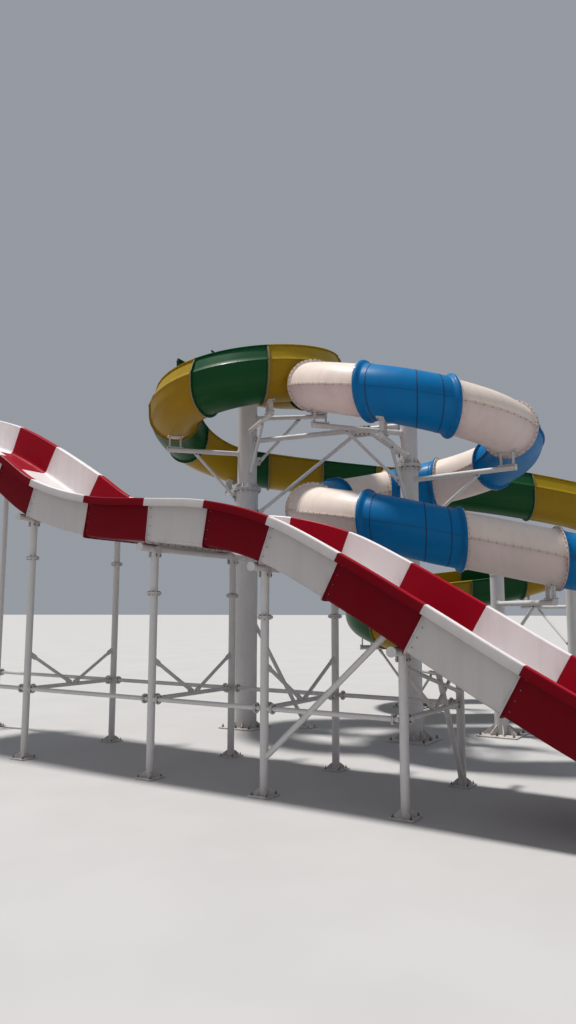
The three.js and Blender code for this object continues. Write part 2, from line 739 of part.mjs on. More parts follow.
function makeMainColumn() {
  const bodies = column(MAIN_PLACE, [
    [BASE_PLATE_THICKNESS / 2, MAIN_HEIGHT, COLUMN_RADIUS],
    [MAIN_SPLICE_HEIGHT - SPLICE_THICKNESS / 2, MAIN_SPLICE_HEIGHT + SPLICE_THICKNESS / 2, SPLICE_RADIUS],
  ]);
  for (const compass of MAIN_ARMS) {
    const distance = (compass - TUBE_START) * TUBE_DEGREE - CRADLE_BEFORE;
    bodies.push(tubeArm(MAIN_PLACE, COLUMN_RADIUS, distance));
  }
  place('main_column', join(bodies), 'steel');
}

function makeFlumeColumn() {
  const splice = FLUME_SPLICE_HEIGHT;
  const bodies = column(FLUME_PLACE, [
    [BASE_PLATE_THICKNESS / 2, splice, FLUME_COLUMN_FOOT_RADIUS],
    [splice, FLUME_COLUMN_HEIGHT, FLUME_COLUMN_RADIUS],
    [splice - SPLICE_THICKNESS / 2, splice + SPLICE_THICKNESS / 2, FLUME_SPLICE_RADIUS],
  ]);
  for (const compass of FLUME_ARMS) {
    const distance = (FLUME_START - compass) * FLUME_DEGREE - CRADLE_BEFORE;
    bodies.push(flumeArm(FLUME_PLACE, FLUME_COLUMN_RADIUS, distance));
  }
  const legFoot = [FLUME_PLACE[0] + LEG_REACH, FLUME_PLACE[1]];
  const onGround = towerPoint(legFoot);
  bodies.push(bar(towerPoint(FLUME_PLACE, LEG_HEIGHT), towerPoint(legFoot, FOOT_PLATE_THICKNESS), BRACE_RADIUS));
  bodies.push(plate(FOOT_PLATE, FOOT_PLATE, LEG_PLATE_THICKNESS, onGround.x, onGround.y, 0));
  place('flume_column', join(bodies), 'steel');
}

function makeExitColumn() {
  const distance = tubeArc + TUBE_EXIT_JOINTS[1] - CRADLE_BEFORE;
  const bodies = column(EXIT_PLACE, [[BASE_PLATE_THICKNESS / 2, EXIT_COLUMN_HEIGHT, SMALL_COLUMN_RADIUS]]);
  bodies.push(tubeArm(EXIT_PLACE, SMALL_COLUMN_RADIUS, distance));
  place('exit_column', join(bodies), 'steel');
}

function makeBackColumn(name, centre, distances) {
  const arms = distances.map((distance) => flumeArm(centre, SMALL_COLUMN_RADIUS, distance));
  const top = Math.max(...distances.map((distance) => smoothHeight(flumeKnots, distance)));
  const bodies = column(centre, [[BASE_PLATE_THICKNESS / 2, top, SMALL_COLUMN_RADIUS]]);
  place(name, join([...bodies, ...arms]), 'steel');
}

// Strut and braces between the two columns
function makeLink() {
  const from = towerPoint(FLUME_PLACE, LINK_HEIGHT);
  const to = towerPoint(MAIN_PLACE, LINK_HEIGHT);
  const outward = to.clone().sub(from).normalize();
  const start = from.clone().addScaledVector(outward, FLUME_COLUMN_RADIUS - SHOE_SINK);
  const end = to.clone().addScaledVector(outward, SHOE_SINK - COLUMN_RADIUS);
  const onStrut = (share) => start.clone().lerp(end, share);
  const shoe = (at, side) => bar(at, at.clone().addScaledVector(outward, side * SHOE_THICKNESS), SHOE_RADIUS);
  const clear = (centre, radius, low, high) => bar(
    towerPoint(centre, low - SHOE_RADIUS), towerPoint(centre, high + SHOE_RADIUS), radius + GAP, COLUMN_SIDES,
  );
  const lowFoot = from.clone().addScaledVector(outward, FLUME_COLUMN_FOOT_RADIUS - SHOE_SINK);
  const brace = (column, side, height, share) => {
    const foot = column.clone().setZ(height);
    const root = foot.clone().addScaledVector(outward, (side * SHOE_THICKNESS) / 2);
    return join([shoe(foot, side), bar(root, onStrut(share), LINK_BRACE_RADIUS, 6)]);
  };
  const strut = join([
    bar(start, end, LINK_RADIUS),
    shoe(start, 1),
    shoe(end, -1),
    brace(lowFoot, 1, LINK_LOW_BRACE, LINK_LOW_REACH),
    brace(end, -1, LINK_FAR_BRACE, LINK_FAR_REACH),
  ]);
  const columns = join([
    clear(FLUME_PLACE, FLUME_COLUMN_FOOT_RADIUS, LINK_LOW_BRACE, LINK_LOW_BRACE),
    clear(FLUME_PLACE, FLUME_COLUMN_RADIUS, LINK_HEIGHT, LINK_HEIGHT),
    clear(MAIN_PLACE, COLUMN_RADIUS, LINK_FAR_BRACE, LINK_HEIGHT),
  ]);
  place('link_strut', strut.subtract(columns), 'steel');
}

// Trestles under the wave slide

function waveUnderside(x) {
  const half = (WAVE_DEPTH + WAVE_SKIN);
  const here = waveRoute.frame(x);
  return here.point.clone().addScaledVector(here.up, -half).setY(WAVE_MIDDLE_Y);
}

// Flat pad under the slide, across a part of its width
function wavePad(x, from, to) {
  const outline = [[from, -PAD_THICKNESS], [to, -PAD_THICKNESS], [to, 0], [from, 0]].map(
    ([across, rise]) => new THREE.Vector2(across, rise - WAVE_DEPTH - WAVE_SKIN - GAP),
  );
  return sweep(waveRoute, [x - PAD_HALF_LENGTH, x + PAD_HALF_LENGTH].map((at) => ({ distance: at, outline })));
}

// Middle of a trestle's cross beam, below the slide's underside
function beamMiddle(k) {
  const up = waveRoute.frame(TRESTLE_XS[k]).up;
  return waveUnderside(TRESTLE_XS[k]).addScaledVector(up, -CROSS_BEAM_RADIUS - BEAM_DROP);
}

// Struts between the posts of the trestle that has them
function struts(post, beamZ, tieHeight) {
  const middleY = (NEAR_POST_Y + FAR_POST_Y) / 2;
  return [
    bar(post(middleY, beamZ), post(FAR_POST_Y, STRUT_FOOT), BRACE_RADIUS, 6),
    bar(
      post(NEAR_POST_Y, beamZ - THIN_STRUT_BELOW), post(FAR_POST_Y, tieHeight + THIN_STRUT_ABOVE_TIE),
      SHORT_BRACE_RADIUS, 6,
    ),
  ];
}

// Raking brace from the foot of a near post up to a pad under the slide
function rake(postX) {
  const across = NEAR_POST_Y - WAVE_MIDDLE_Y;
  const up = waveRoute.frame(RAKE_AT).up;
  const top = waveUnderside(RAKE_AT).setY(NEAR_POST_Y).addScaledVector(up, -PAD_THICKNESS / 2);
  return [
    bar(new THREE.Vector3(postX, NEAR_POST_Y, RAKE_FOOT), top, BRACE_RADIUS, 6),
    wavePad(RAKE_AT, across - CRADLE_WIDTH / 2, across + CRADLE_WIDTH / 2),
  ];
}

function makeTrestle(k) {
  const { x, z: beamZ } = beamMiddle(k);
  const post = (y, z) => new THREE.Vector3(x, y, z);
  const bodies = [
    wavePad(TRESTLE_XS[k], -PAD_HALF_WIDTH, PAD_HALF_WIDTH),
    bar(
      post(NEAR_POST_Y - CROSS_BEAM_OVERHANG, beamZ), post(FAR_POST_Y + CROSS_BEAM_OVERHANG, beamZ),
      CROSS_BEAM_RADIUS,
    ),
  ];
  for (const y of [NEAR_POST_Y, FAR_POST_Y]) {
    bodies.push(bar(post(y, FOOT_PLATE_THICKNESS / 2), post(y, beamZ), POST_RADIUS));
    bodies.push(plate(FOOT_PLATE, FOOT_PLATE, FOOT_PLATE_THICKNESS, x, y, 0));
    const spliceZ = beamZ - POST_SPLICE_BELOW;
    if (spliceZ > RAIL_HEIGHT + RAIL_END_HEIGHT) {
      const half = POST_SPLICE_THICKNESS / 2;
      bodies.push(bar(post(y, spliceZ - half), post(y, spliceZ + half), POST_SPLICE_RADIUS));
    }
    if (k + 1 < TRESTLE_XS.length && beamMiddle(k + 1).z > RAIL_HEIGHT + RAIL_END_HEIGHT) {
      const end = beamMiddle(k + 1).x - POST_RADIUS - GAP;
      bodies.push(bar(post(y, RAIL_HEIGHT), post(y, RAIL_HEIGHT).setX(end), RAIL_RADIUS, 6));
    }
  }
  const tieHeight = Math.min(RAIL_HEIGHT, beamZ - TIE_BELOW_BEAM);
  bodies.push(bar(post(NEAR_POST_Y, tieHeight), post(FAR_POST_Y, tieHeight), RAIL_RADIUS, 6));
  if (beamZ > BRACED_HEIGHT) {
    const middle = post((NEAR_POST_Y + FAR_POST_Y) / 2, tieHeight);
    bodies.push(bar(post(NEAR_POST_Y, tieHeight + BRACE_RISE), middle, SHORT_BRACE_RADIUS, 6));
    bodies.push(bar(post(FAR_POST_Y, tieHeight + BRACE_RISE), middle, SHORT_BRACE_RADIUS, 6));
  }
  if (k === STRUTTED_TRESTLE) bodies.push(...struts(post, beamZ, tieHeight));
  if (k === RAKED_TRESTLE) bodies.push(...rake(x));
  place(`trestle_${k + 1}`, join(bodies), 'steel');
}

makeTube();
makeFlume();
makeWaveSlide();
makeMainColumn();
makeFlumeColumn();
makeExitColumn();
makeBackColumn('back_column_left', BACK_LEFT_PLACE, BACK_LEFT_ARMS);
makeBackColumn('back_column_right', BACK_RIGHT_PLACE, BACK_RIGHT_ARMS);
makeLink();
TRESTLE_XS.forEach((x, k) => makeTrestle(k));

export default tower;
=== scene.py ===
"""Looks of the water slide tower: smooth fibreglass slides with flanges, seams and bolts, and the
painted pipe steelwork that carries them. Metres, in the frame of the CAD model.

A slide is a route: tube_at, flume_at and wave_at give the place at a distance s along it, and each
piece is a loft of cross sections between two joints. The spirals have a compass of their own, with
0 at the right-hand side and 90 at the back."""
import math

import bpy
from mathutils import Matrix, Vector


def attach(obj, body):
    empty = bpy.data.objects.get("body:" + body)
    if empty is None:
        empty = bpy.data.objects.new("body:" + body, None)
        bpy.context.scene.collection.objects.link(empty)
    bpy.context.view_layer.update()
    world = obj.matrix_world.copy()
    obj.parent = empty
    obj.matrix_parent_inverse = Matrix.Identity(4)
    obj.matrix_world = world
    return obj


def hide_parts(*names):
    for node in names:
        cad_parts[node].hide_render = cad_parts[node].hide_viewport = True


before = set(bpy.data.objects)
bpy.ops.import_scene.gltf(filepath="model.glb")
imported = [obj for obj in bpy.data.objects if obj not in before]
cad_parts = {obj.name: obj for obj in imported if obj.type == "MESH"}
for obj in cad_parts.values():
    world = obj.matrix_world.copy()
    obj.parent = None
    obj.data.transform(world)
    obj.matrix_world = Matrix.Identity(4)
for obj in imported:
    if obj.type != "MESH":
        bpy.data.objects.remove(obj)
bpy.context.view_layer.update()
scene = bpy.context.scene

RIGHT, BACK, UP = Vector((1, 0, 0)), Vector((0, 1, 0)), Vector((0, 0, 1))
HALF_GAP = 0.0008  # from a piece's end to the middle of its joint

# Where the columns and the tube's spiral stand, by compass from the main column
TURN = math.radians(32)  # from +X to compass 0
MAIN = (0, 0)
FLUME = (-3.11, 1.5)
TUBE = (0.07, 0)
EXIT = (1.74, 0.6)
BACK_LEFT = (0.79, 4.9)
BACK_RIGHT = (4.74, 4.9)
PAST_END = 9  # a route's last leg, longer than it needs to be

# Closed spiral tube: one turn and a part down to a straight exit
TUBE_R = 1.87
TUBE_START, TUBE_LEAVES = 190, 630
TUBE_DEG = math.radians(1) * TUBE_R
TUBE_ARC = (TUBE_LEAVES - TUBE_START) * TUBE_DEG
TUBE_JOINTS = [(c - TUBE_START) * TUBE_DEG for c in (190, 237, 280, 323, 383, 424, 459, 499, 541, 598)]
TUBE_JOINTS += [TUBE_ARC + d for d in (0.43, 1.97, 3.47)]
TUBE_KNOTS = [((c - TUBE_START) * TUBE_DEG, z) for c, z in (
    (190, 6.43), (237, 5.965), (285, 5.6), (323, 5.425), (383, 5.175), (424, 4.965), (459, 4.755),
    (541, 4.16), (598, 3.765), (630, 3.52))]
TUBE_EXIT_FALL = 0.195  # for each metre of the straight exit
INNER, OUTER, FLANGE = 0.445, 0.46, 0.52
BARRELS = (1, 5, 9)  # which pieces are wide barrels
BARREL, COLLAR = 0.478, 0.535
GROOVES = (0.12, 0.6, 0.84)  # where filled grooves go around a barrel, as shares of its length
GROOVE = ((-0.007, 0), (-0.005, 0.005), (0.005, 0.005), (0.007, 0))  # along the tube, and its depth
AROUND = 64  # corners of the tube's cross section

# Open spiral flume: the spiral, a run, a bend, a run back, the last bend and the exit
FLUME_R = 1.5
FLUME_START, FLUME_LEAVES = 146, -266
FLUME_DEG = math.radians(1) * FLUME_R
FLUME_RUN, FLUME_RETURN, FLUME_EXIT = 7.43, 2.95, 2.93
BEND = math.pi * FLUME_R
RUN_START = (FLUME_START - FLUME_LEAVES) * FLUME_DEG
TURN_START = RUN_START + FLUME_RUN
BACK_START = TURN_START + BEND
LAST_START = BACK_START + FLUME_RETURN
EXIT_START = LAST_START + BEND
FLUME_END = EXIT_START + FLUME_EXIT
FLUME_JOINTS = [(FLUME_START - c) * FLUME_DEG for c in (146, 94, 41, -12, -76, -119, -169, -207, -256)]
FLUME_JOINTS += [RUN_START + d for d in (0.5, 1.7, 2.9, 4.15, 6.5, 8.05, 9.86)]
FLUME_JOINTS += [BACK_START, BACK_START + 1.5, LAST_START + 0.95, LAST_START + 3.3, EXIT_START, FLUME_END]
FLUME_KNOTS = [(0, 7.26), ((FLUME_START + 169) * FLUME_DEG, 5.77), (RUN_START, 5.13), (TURN_START, 4.25),
               (BACK_START, 2.65), (LAST_START, 2.2), (EXIT_START, 1.15), (FLUME_END, 0.45)]
BOWL, BOWL_UNDER = 0.48, 0.494  # inner and outer radius of the round bottom
FLUME_SKIN = 0.014
LOW_WALL, WALL_GROWTH = 0.7, 0.3
# where each wall begins to grow, is tall, begins to shrink and is low again
LEFT_WALL = (0.3, 2.4, RUN_START - 0.9, RUN_START + 0.6)
RIGHT_WALL = (RUN_START + 2.9, RUN_START + 5.6, EXIT_START - 0.5, EXIT_START + 1.5)
FLUME_FLANGES = (0.034, 0.04)  # how far flanges stand out at a piece's start and end

# Wave slide: x and height of the lips at each joint
WAVE_JOINTS = [(-8.3, 6.37), (-7.15, 6.0), (-6.06, 5.47), (-4.87, 4.8), (-4.09, 4.33), (-2.9, 3.98),
               (-1.72, 3.85), (-0.667, 3.74), (0.342, 3.46), (1.32, 2.97), (2.37, 2.37), (3.41, 1.76),
               (4.45, 1.22), (5.5, 0.86)]
WAVE_Y = -4.14
WAVE_HALF = 1.15  # over the folded lips
WAVE_INSIDE = WAVE_HALF - 0.13
WAVE_DEPTH, WAVE_SKIN = 0.58, 0.016
WAVE_UNDER = -WAVE_DEPTH - WAVE_SKIN

# Steelwork
COLUMN_R, FLUME_COLUMN_R, FLUME_FOOT_R, SMALL_COLUMN_R = 0.165, 0.2, 0.23, 0.13
MAIN_TOP, FLUME_TOP, EXIT_TOP = 6.0, 7.08, 3.0
MAIN_SPLICE, FLUME_SPLICE = 4.985, 4.77
COLUMN_CAP = 0.014
COLUMN_PLATE, POST_PLATE = 0.76, 0.3
ARM_R = 0.047
CRADLE = 0.014
RISE = 0.25  # from an arm's middle to its cradle
BEFORE = 0.13  # from the middle of a cradle to the next joint
MAIN_ARMS = (204, 250, 323, 459, 541, 612)
FLUME_ARMS = (94, -12, -76, -169, -256)
BACK_LEFT_ARMS = [FLUME_JOINTS[12] - BEFORE, LAST_START - BEFORE, LAST_START + BEND / 2, EXIT_START - BEFORE]
BACK_RIGHT_ARMS = [FLUME_JOINTS[k] - BEFORE for k in (14, 15, 16)]
LEG_TOP, LEG_REACH, HEAVY_BRACE_R = 2.4, 1.22, 0.038
LINK_Z = 5.78

# Trestles under the wave slide
TRESTLES = (-7.5, -4.2, -1.83, 0.24, 2.26, 4.3)
NEAR_Y, FAR_Y = -4.84, -2.95
POST_R, RAIL_R, SHORT_BRACE_R = 0.055, 0.032, 0.026
BEAM_OVERHANG = 0.33  # past the middle of the posts
RAIL_Z = 1.07
LOWEST_RAILED = 1.27  # no rail leads to a lower beam, and no splice lies lower
RAKED, STRUTTED = 3, 4  # the trestles with the raking brace and with struts between the posts
RAKE_X = 2.03  # where the raking brace meets the slide


def tower_point(place, z=0.0):
    """Point at a place given by compass, to the right and to the back."""
    x = place[0] * math.cos(TURN) - place[1] * math.sin(TURN)
    y = place[0] * math.sin(TURN) + place[1] * math.cos(TURN)
    return Vector((x, y, z))


def smooth_height(knots, s):
    """Height at s on a smooth curve through knots of distance and height."""
    k = 1
    while k < len(knots) - 1 and knots[k][0] < s:
        k += 1

    def slope(i):
        a, b = knots[max(i - 1, 0)], knots[min(i + 1, len(knots) - 1)]
        return (b[1] - a[1]) / (b[0] - a[0])
    (s0, z0), (s1, z1) = knots[k - 1], knots[k]
    span = s1 - s0
    t = (s - s0) / span
    return ((2 * t ** 3 - 3 * t ** 2 + 1) * z0 + (t ** 3 - 2 * t ** 2 + t) * span * slope(k - 1)
            + (3 * t ** 2 - 2 * t ** 3) * z1 + (t ** 3 - t ** 2) * span * slope(k))


def slope_at(height, s):
    return (height(s + 0.001) - height(s - 0.001)) / 0.002


def around(centre, radius, compass):
    a = math.radians(compass)
    return centre[0] + radius * math.cos(a), centre[1] + radius * math.sin(a)


def plan_point(start, heading, legs, s):
    """Place and heading at s along legs of length, radius (None if straight) and side (1 left, -1 right)."""
    x, y = start
    angle = math.radians(heading)
    for length, radius, side in legs:
        run = min(s, length)
        if radius:
            turned_by = run / radius * side
            x += radius * side * (math.sin(angle + turned_by) - math.sin(angle))
            y -= radius * side * (math.cos(angle + turned_by) - math.cos(angle))
            angle += turned_by
        else:
            x += run * math.cos(angle)
            y += run * math.sin(angle)
        s -= run
        if s <= 0:
            break
    return x, y, angle + TURN


class Place:
    """Point, left-hand side, upward direction and normal of the cross section on a slide's route."""

    def __init__(self, point, along, slope=0.0):
        self.point = point
        self.slope = slope
        self.along = along.normalized()
        self.left = Vector((-along.y, along.x, 0)).normalized()
        self.up = self.along.cross(self.left)

    def at(self, left, up, along=0.0):
        return self.point + self.left * left + self.up * up + self.along * along


def spiral_place(start, heading, legs, height, s):
    x, y, a = plan_point(start, heading, legs, s)
    return Place(tower_point((x, y), height(s)), Vector((math.cos(a), math.sin(a), 0)), slope_at(height, s))


def tube_height(s):
    straight = max(0.0, s - TUBE_ARC)
    return smooth_height(TUBE_KNOTS, s - straight) - TUBE_EXIT_FALL * straight


def flume_height(s):
    return smooth_height(FLUME_KNOTS, s)


def wave_height(x):
    return smooth_height(WAVE_JOINTS, x)


def tube_at(s):
    legs = [(TUBE_ARC, TUBE_R, 1), (PAST_END, None, 1)]
    return spiral_place(around(TUBE, TUBE_R, TUBE_START), TUBE_START + 90, legs, tube_height, s)


def flume_at(s):
    legs = [(RUN_START, FLUME_R, -1), (FLUME_RUN, None, 1), (BEND, FLUME_R, 1), (FLUME_RETURN, None, 1),
            (BEND, FLUME_R, 1), (PAST_END, None, 1)]
    return spiral_place(around(FLUME, FLUME_R, FLUME_START), FLUME_START - 90, legs, flume_height, s)


def wave_at(x):
    return Place(Vector((x, WAVE_Y, wave_height(x))), Vector((1, 0, slope_at(wave_height, x))))


# Materials

class Nodes:
    """A new material, with short ways to make its shader nodes and to link them."""

    def __init__(self, name):
        self.material = bpy.data.materials.new(name)
        self.material.use_nodes = True
        self.tree = self.material.node_tree
        self.shader = self.tree.nodes["Principled BSDF"]
        self.coords = self.new("ShaderNodeTexCoord", {}).outputs["Object"]

    def new(self, kind, inputs, **settings):
        """New node with its settings, and its inputs by name or number."""
        node = self.tree.nodes.new(kind)
        for key, value in settings.items():
            setattr(node, key, value)
        self.fill(node, inputs)
        return node

    def fill(self, node, inputs):
        """Link another node's output to each input, or set the input's own value."""
        for key, value in inputs.items():
            if isinstance(value, bpy.types.NodeSocket):
                self.tree.links.new(value, node.inputs[key])
            else:
                node.inputs[key].default_value = value

    def surface(self, inputs):
        self.fill(self.shader, inputs)

    def math(self, operation, a, b, clamp=False):
        return self.new("ShaderNodeMath", {0: a, 1: b}, operation=operation, use_clamp=clamp).outputs[0]

    def noise(self, scale, stretch=(1, 1, 1), detail=3.0, rough=0.55):
        """Noise over the object, drawn out along an axis whose stretch is under 1."""
        mapping = self.new("ShaderNodeMapping", {"Vector": self.coords, "Scale": stretch})
        inputs = {"Vector": mapping.outputs[0], "Scale": scale, "Detail": detail, "Roughness": rough}
        return self.new("ShaderNodeTexNoise", inputs).outputs["Fac"]

    def range(self, value, low, high, to_low=0.0, to_high=1.0):
        inputs = {"Value": value, "From Min": low, "From Max": high, "To Min": to_low, "To Max": to_high}
        return self.new("ShaderNodeMapRange", inputs, interpolation_type="SMOOTHSTEP").outputs[0]

    def mix(self, factor, a, b):
        a, b = ((*c, 1) if isinstance(c, tuple) else c for c in (a, b))
        return self.new("ShaderNodeMix", {0: factor, 6: a, 7: b}, data_type="RGBA").outputs[2]

    def tinted(self, base, *layers):
        """Mix colours into the base one after another, each by a share of its mask."""
        for mask, share, colour in layers:
            base = self.mix(self.math("MULTIPLY", mask, share), base, colour)
        return base

    def grime_and_shade(self):
        return self.new("ShaderNodeAttribute", {}, attribute_name="grime_and_shade").outputs["Fac"]

    def z_of(self, vector):
        return self.new("ShaderNodeSeparateXYZ", {0: vector}).outputs["Z"]

    def bump(self, height, strength, distance):
        node = self.new("ShaderNodeBump", {"Height": height, "Strength": strength, "Distance": distance})
        self.surface({"Normal": node.outputs[0]})


def shade(colour, share, more=0.0):
    return tuple(c * share + more for c in colour)


def gelcoat(name, colour, faded_and_sunlit, coat=0.06, shine=0.16):
    """Glossy fibreglass that is paler on upward faces, where it has chalked and where painted sunlight
    falls, with run-down marks, soiled joints and, on the flume, painted shade along its creases.
    """
    n = Nodes(name)
    patches = n.range(n.noise(1.3, detail=4), 0.35, 0.7)
    streaks = n.range(n.noise(7.0, (1, 1, 0.12), detail=4), 0.42, 0.72)
    facing_up = n.z_of(n.new("ShaderNodeNewGeometry", {}).outputs["Normal"])
    # painted sunlight and chalking: faces that look up are mixed towards the paler colour
    top = n.math("MULTIPLY", n.range(facing_up, 0.25, 0.95), n.range(patches, 0, 1, 0.45, 1.0))
    # from the vertex attribute: soiled joints, and on the flume a painted shade line along the crease
    dirt = n.math("MULTIPLY", n.grime_and_shade(), n.range(n.noise(16.0, (1, 1, 0.3)), 0.3, 0.65), clamp=True)
    base = n.tinted(colour, (patches, 0.3, shade(colour, 0.84)), (top, 0.45, faded_and_sunlit),
                    (streaks, 0.14, shade(colour, 0.55, 0.01)), (dirt, 0.32, shade(colour, 0.38, 0.012)))
    worn = n.math("ADD", n.math("MULTIPLY", top, 0.16), n.math("MULTIPLY", dirt, 0.25))
    rough = n.math("ADD", worn, n.range(patches, 0, 1, 0.34, 0.42))
    n.surface({"Base Color": base, "Roughness": rough, "Coat Weight": coat, "Coat Roughness": 0.15,
               "Specular IOR Level": shine})
    wavy = n.math("ADD", n.noise(2.2, detail=1), n.math("MULTIPLY", n.noise(90.0, detail=2), 0.02))
    n.bump(wavy, 0.25, 0.012)
    return n.material


def painted_steel(name, paint):
    """Off-white paint over galvanised steel, dull and dusty, with rust at plates, bolts and edges."""
    n = Nodes(name)
    blotch = n.range(n.noise(3.0, detail=5), 0.35, 0.7)
    runs = n.range(n.noise(9.0, (1, 1, 0.08), detail=4), 0.48, 0.75)
    dust = n.range(n.z_of(n.coords), 0.0, 0.6, 1.0, 0.0)
    rust = n.math("MULTIPLY", n.grime_and_shade(), n.range(n.noise(24.0, detail=6, rough=0.7), 0.46, 0.6), clamp=True)
    specks = n.range(n.noise(38.0, detail=4, rough=0.7), 0.74, 0.8)
    base = n.tinted(paint, (blotch, 0.16, shade(paint, 0.86)), (runs, 0.12, (0.36, 0.32, 0.29)),
                    (dust, 0.3, (0.38, 0.34, 0.29)), (rust, 0.42, (0.24, 0.13, 0.08)),
                    (specks, 0.35, (0.27, 0.16, 0.1)))
    rough = n.math("ADD", n.math("MULTIPLY", rust, 0.3), n.range(blotch, 0, 1, 0.42, 0.58))
    n.surface({"Base Color": base, "Roughness": rough, "Specular IOR Level": 0.35})
    n.bump(n.math("ADD", n.noise(60.0, detail=3), rust), 0.1, 0.003)
    return n.material


def galvanised(name, colour):
    """Zinc on bolts, nuts and washers, with rust."""
    n = Nodes(name)
    rust = n.range(n.noise(30.0, detail=5, rough=0.7), 0.42, 0.62)
    n.surface({"Base Color": n.tinted(colour, (rust, 0.6, (0.14, 0.06, 0.03))), "Metallic": 0.6,
               "Roughness": n.range(rust, 0, 1, 0.45, 0.75)})
    return n.material


def sealant(name, colour):
    """Dark joint filler between panels."""
    n = Nodes(name)
    patches = n.range(n.noise(40.0), 0.35, 0.65)
    n.surface({"Base Color": n.mix(patches, colour, shade(colour, 0.5)), "Roughness": 0.75})
    return n.material


SATIN = {"shine": 0.12}
MATTE = {"coat": 0.0, "shine": 0.06}
MATS = {
    "cream": gelcoat("tube_cream_gelcoat", (0.76, 0.65, 0.58), (0.88, 0.8, 0.73)),
    # darker, pinker copy of the cream for the tube's lower halves: painted shade
    "cream_low": gelcoat("tube_pinkish_gelcoat", (0.66, 0.55, 0.52), (0.8, 0.71, 0.66)),
    "blue": gelcoat("tube_blue_gelcoat", (0.002, 0.148, 0.38), (0.003, 0.225, 0.52), 0.02, 0.1),
    "green": gelcoat("flume_green_gelcoat", (0.003, 0.058, 0.013), (0.024, 0.15, 0.045), **SATIN),
    # lighter copies for the flume's band above the crease: painted sunlight
    "green_high": gelcoat("flume_green_band_gelcoat", (0.006, 0.07, 0.024), (0.035, 0.17, 0.065), **SATIN),
    "yellow": gelcoat("flume_yellow_gelcoat", (0.29, 0.175, 0.004), (0.58, 0.42, 0.03), **SATIN),
    "yellow_high": gelcoat("flume_yellow_band_gelcoat", (0.33, 0.215, 0.006), (0.56, 0.4, 0.03), **SATIN),
    # paler raw flange faces of the flume, with a painted highlight where they catch the light
    "flange_edge": gelcoat("flume_flange_edges", (0.24, 0.22, 0.12), (0.42, 0.41, 0.28)),
    # The wave slide's outer walls take darker copies of its colours, painted shade, and its inner walls and
    # floor lighter ones, painted light bounced inside the channel
    "red": gelcoat("wave_red_gelcoat", (0.15, 0.001, 0.006), (0.3, 0.004, 0.016), **MATTE),
    "red_inside": gelcoat("wave_red_inside", (0.36, 0.004, 0.018), (0.4, 0.006, 0.022), **MATTE),
    "red_floor": gelcoat("wave_red_floor", (0.3, 0.004, 0.016), (0.36, 0.006, 0.022), **MATTE),
    "white": gelcoat("wave_white_gelcoat", (0.52, 0.48, 0.475), (0.9, 0.85, 0.84)),
    "white_inside": gelcoat("wave_white_inside", (0.92, 0.87, 0.865), (0.92, 0.87, 0.86)),
    "white_floor": gelcoat("wave_white_floor", (0.78, 0.73, 0.72), (0.82, 0.77, 0.76)),
    "steel": painted_steel("weathered_steel_paint", (0.58, 0.565, 0.56)),
    "bolt": galvanised("galvanised_bolts", (0.2, 0.19, 0.185)),
    "dark": sealant("dark_joint", (0.03, 0.03, 0.035)),
    "blue_joint": sealant("blue_joint_filler", (0.003, 0.035, 0.12)),
}


# Meshes

class Build:
    """Collects one piece: its faces, with a material for each, and its corners, with their soiling,
    rust and, along the flume's creases, painted shade.
    """

    def __init__(self, node, kind="steel", material="steel", slot="painted_steel"):
        self.node, self.name, self.slot = node, f"{node}_{kind}", slot
        self.materials = [material, "bolt"]
        self.verts, self.dirt, self.faces, self.which = [], [], [], []

    def loft(self, rings, material, closed=True, caps=False, grime_and_shade=0.0, band=None):
        """Skin over rings of like corners, whose outer side is on the right of a ring seen from behind.
        A band gives the material of each face from its ring and its corner."""
        first, count = len(self.verts), len(rings[0])
        faces, names = [], []
        for j in range(len(rings) - 1):
            a, b = first + j * count, first + (j + 1) * count
            for i in range(count if closed else count - 1):
                k = (i + 1) % count
                faces.append((a + i, a + k, b + k, b + i))
                names.append(band(j, i) if band else material)
        if caps:
            last = first + (len(rings) - 1) * count
            faces += [tuple(reversed(range(first, first + count))), tuple(range(last, last + count))]
            names += [material] * 2
        self.verts += [corner for row in rings for corner in row]
        self.dirt += grime_and_shade if isinstance(grime_and_shade, list) else [grime_and_shade] * (count * len(rings))
        self.faces += faces
        self.materials += sorted(set(names) - set(self.materials))
        self.which += [self.materials.index(name) for name in names]

    def object(self):
        """Make the Blender object, which stands for the CAD node."""
        mesh = bpy.data.meshes.new(self.name)
        mesh.from_pydata([tuple(v) for v in self.verts], [], self.faces)
        for key in self.materials:
            mesh.materials.append(MATS[key])
        mesh.polygons.foreach_set("material_index", self.which)
        mesh.attributes.new("grime_and_shade", "FLOAT", "POINT").data.foreach_set("value", self.dirt)
        mesh.shade_smooth()
        mesh.set_sharp_from_angle(angle=math.radians(30))
        mesh.update()
        thing = bpy.data.objects.new(self.name, mesh)
        scene.collection.objects.link(thing)
        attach(thing, "root")
        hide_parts(self.node)


def basis(axis):
    axis = axis.normalized()
    other = UP if abs(axis.z) < 0.9 else RIGHT
    u = axis.cross(other).normalized()
    return u, axis.cross(u)


def spokes(count, u, v, first=0.5):
    """Directions spread evenly in the plane of u and v; first is in steps from u."""
    for i in range(count):
        a = 2 * math.pi * (i + first) / count
        yield u * math.cos(a) + v * math.sin(a)


def ring(centre, axis, radius, sides):
    u, v = basis(axis)
    turn = [2 * math.pi * i / sides for i in range(sides)]
    return [centre + u * (radius * math.cos(a)) + v * (radius * math.sin(a)) for a in turn]


def steps(start, end, limit):
    """Even steps from start to end, none longer than the limit."""
    count = max(1, math.ceil((end - start) / limit))
    return [start + (end - start) * i / count for i in range(count + 1)]


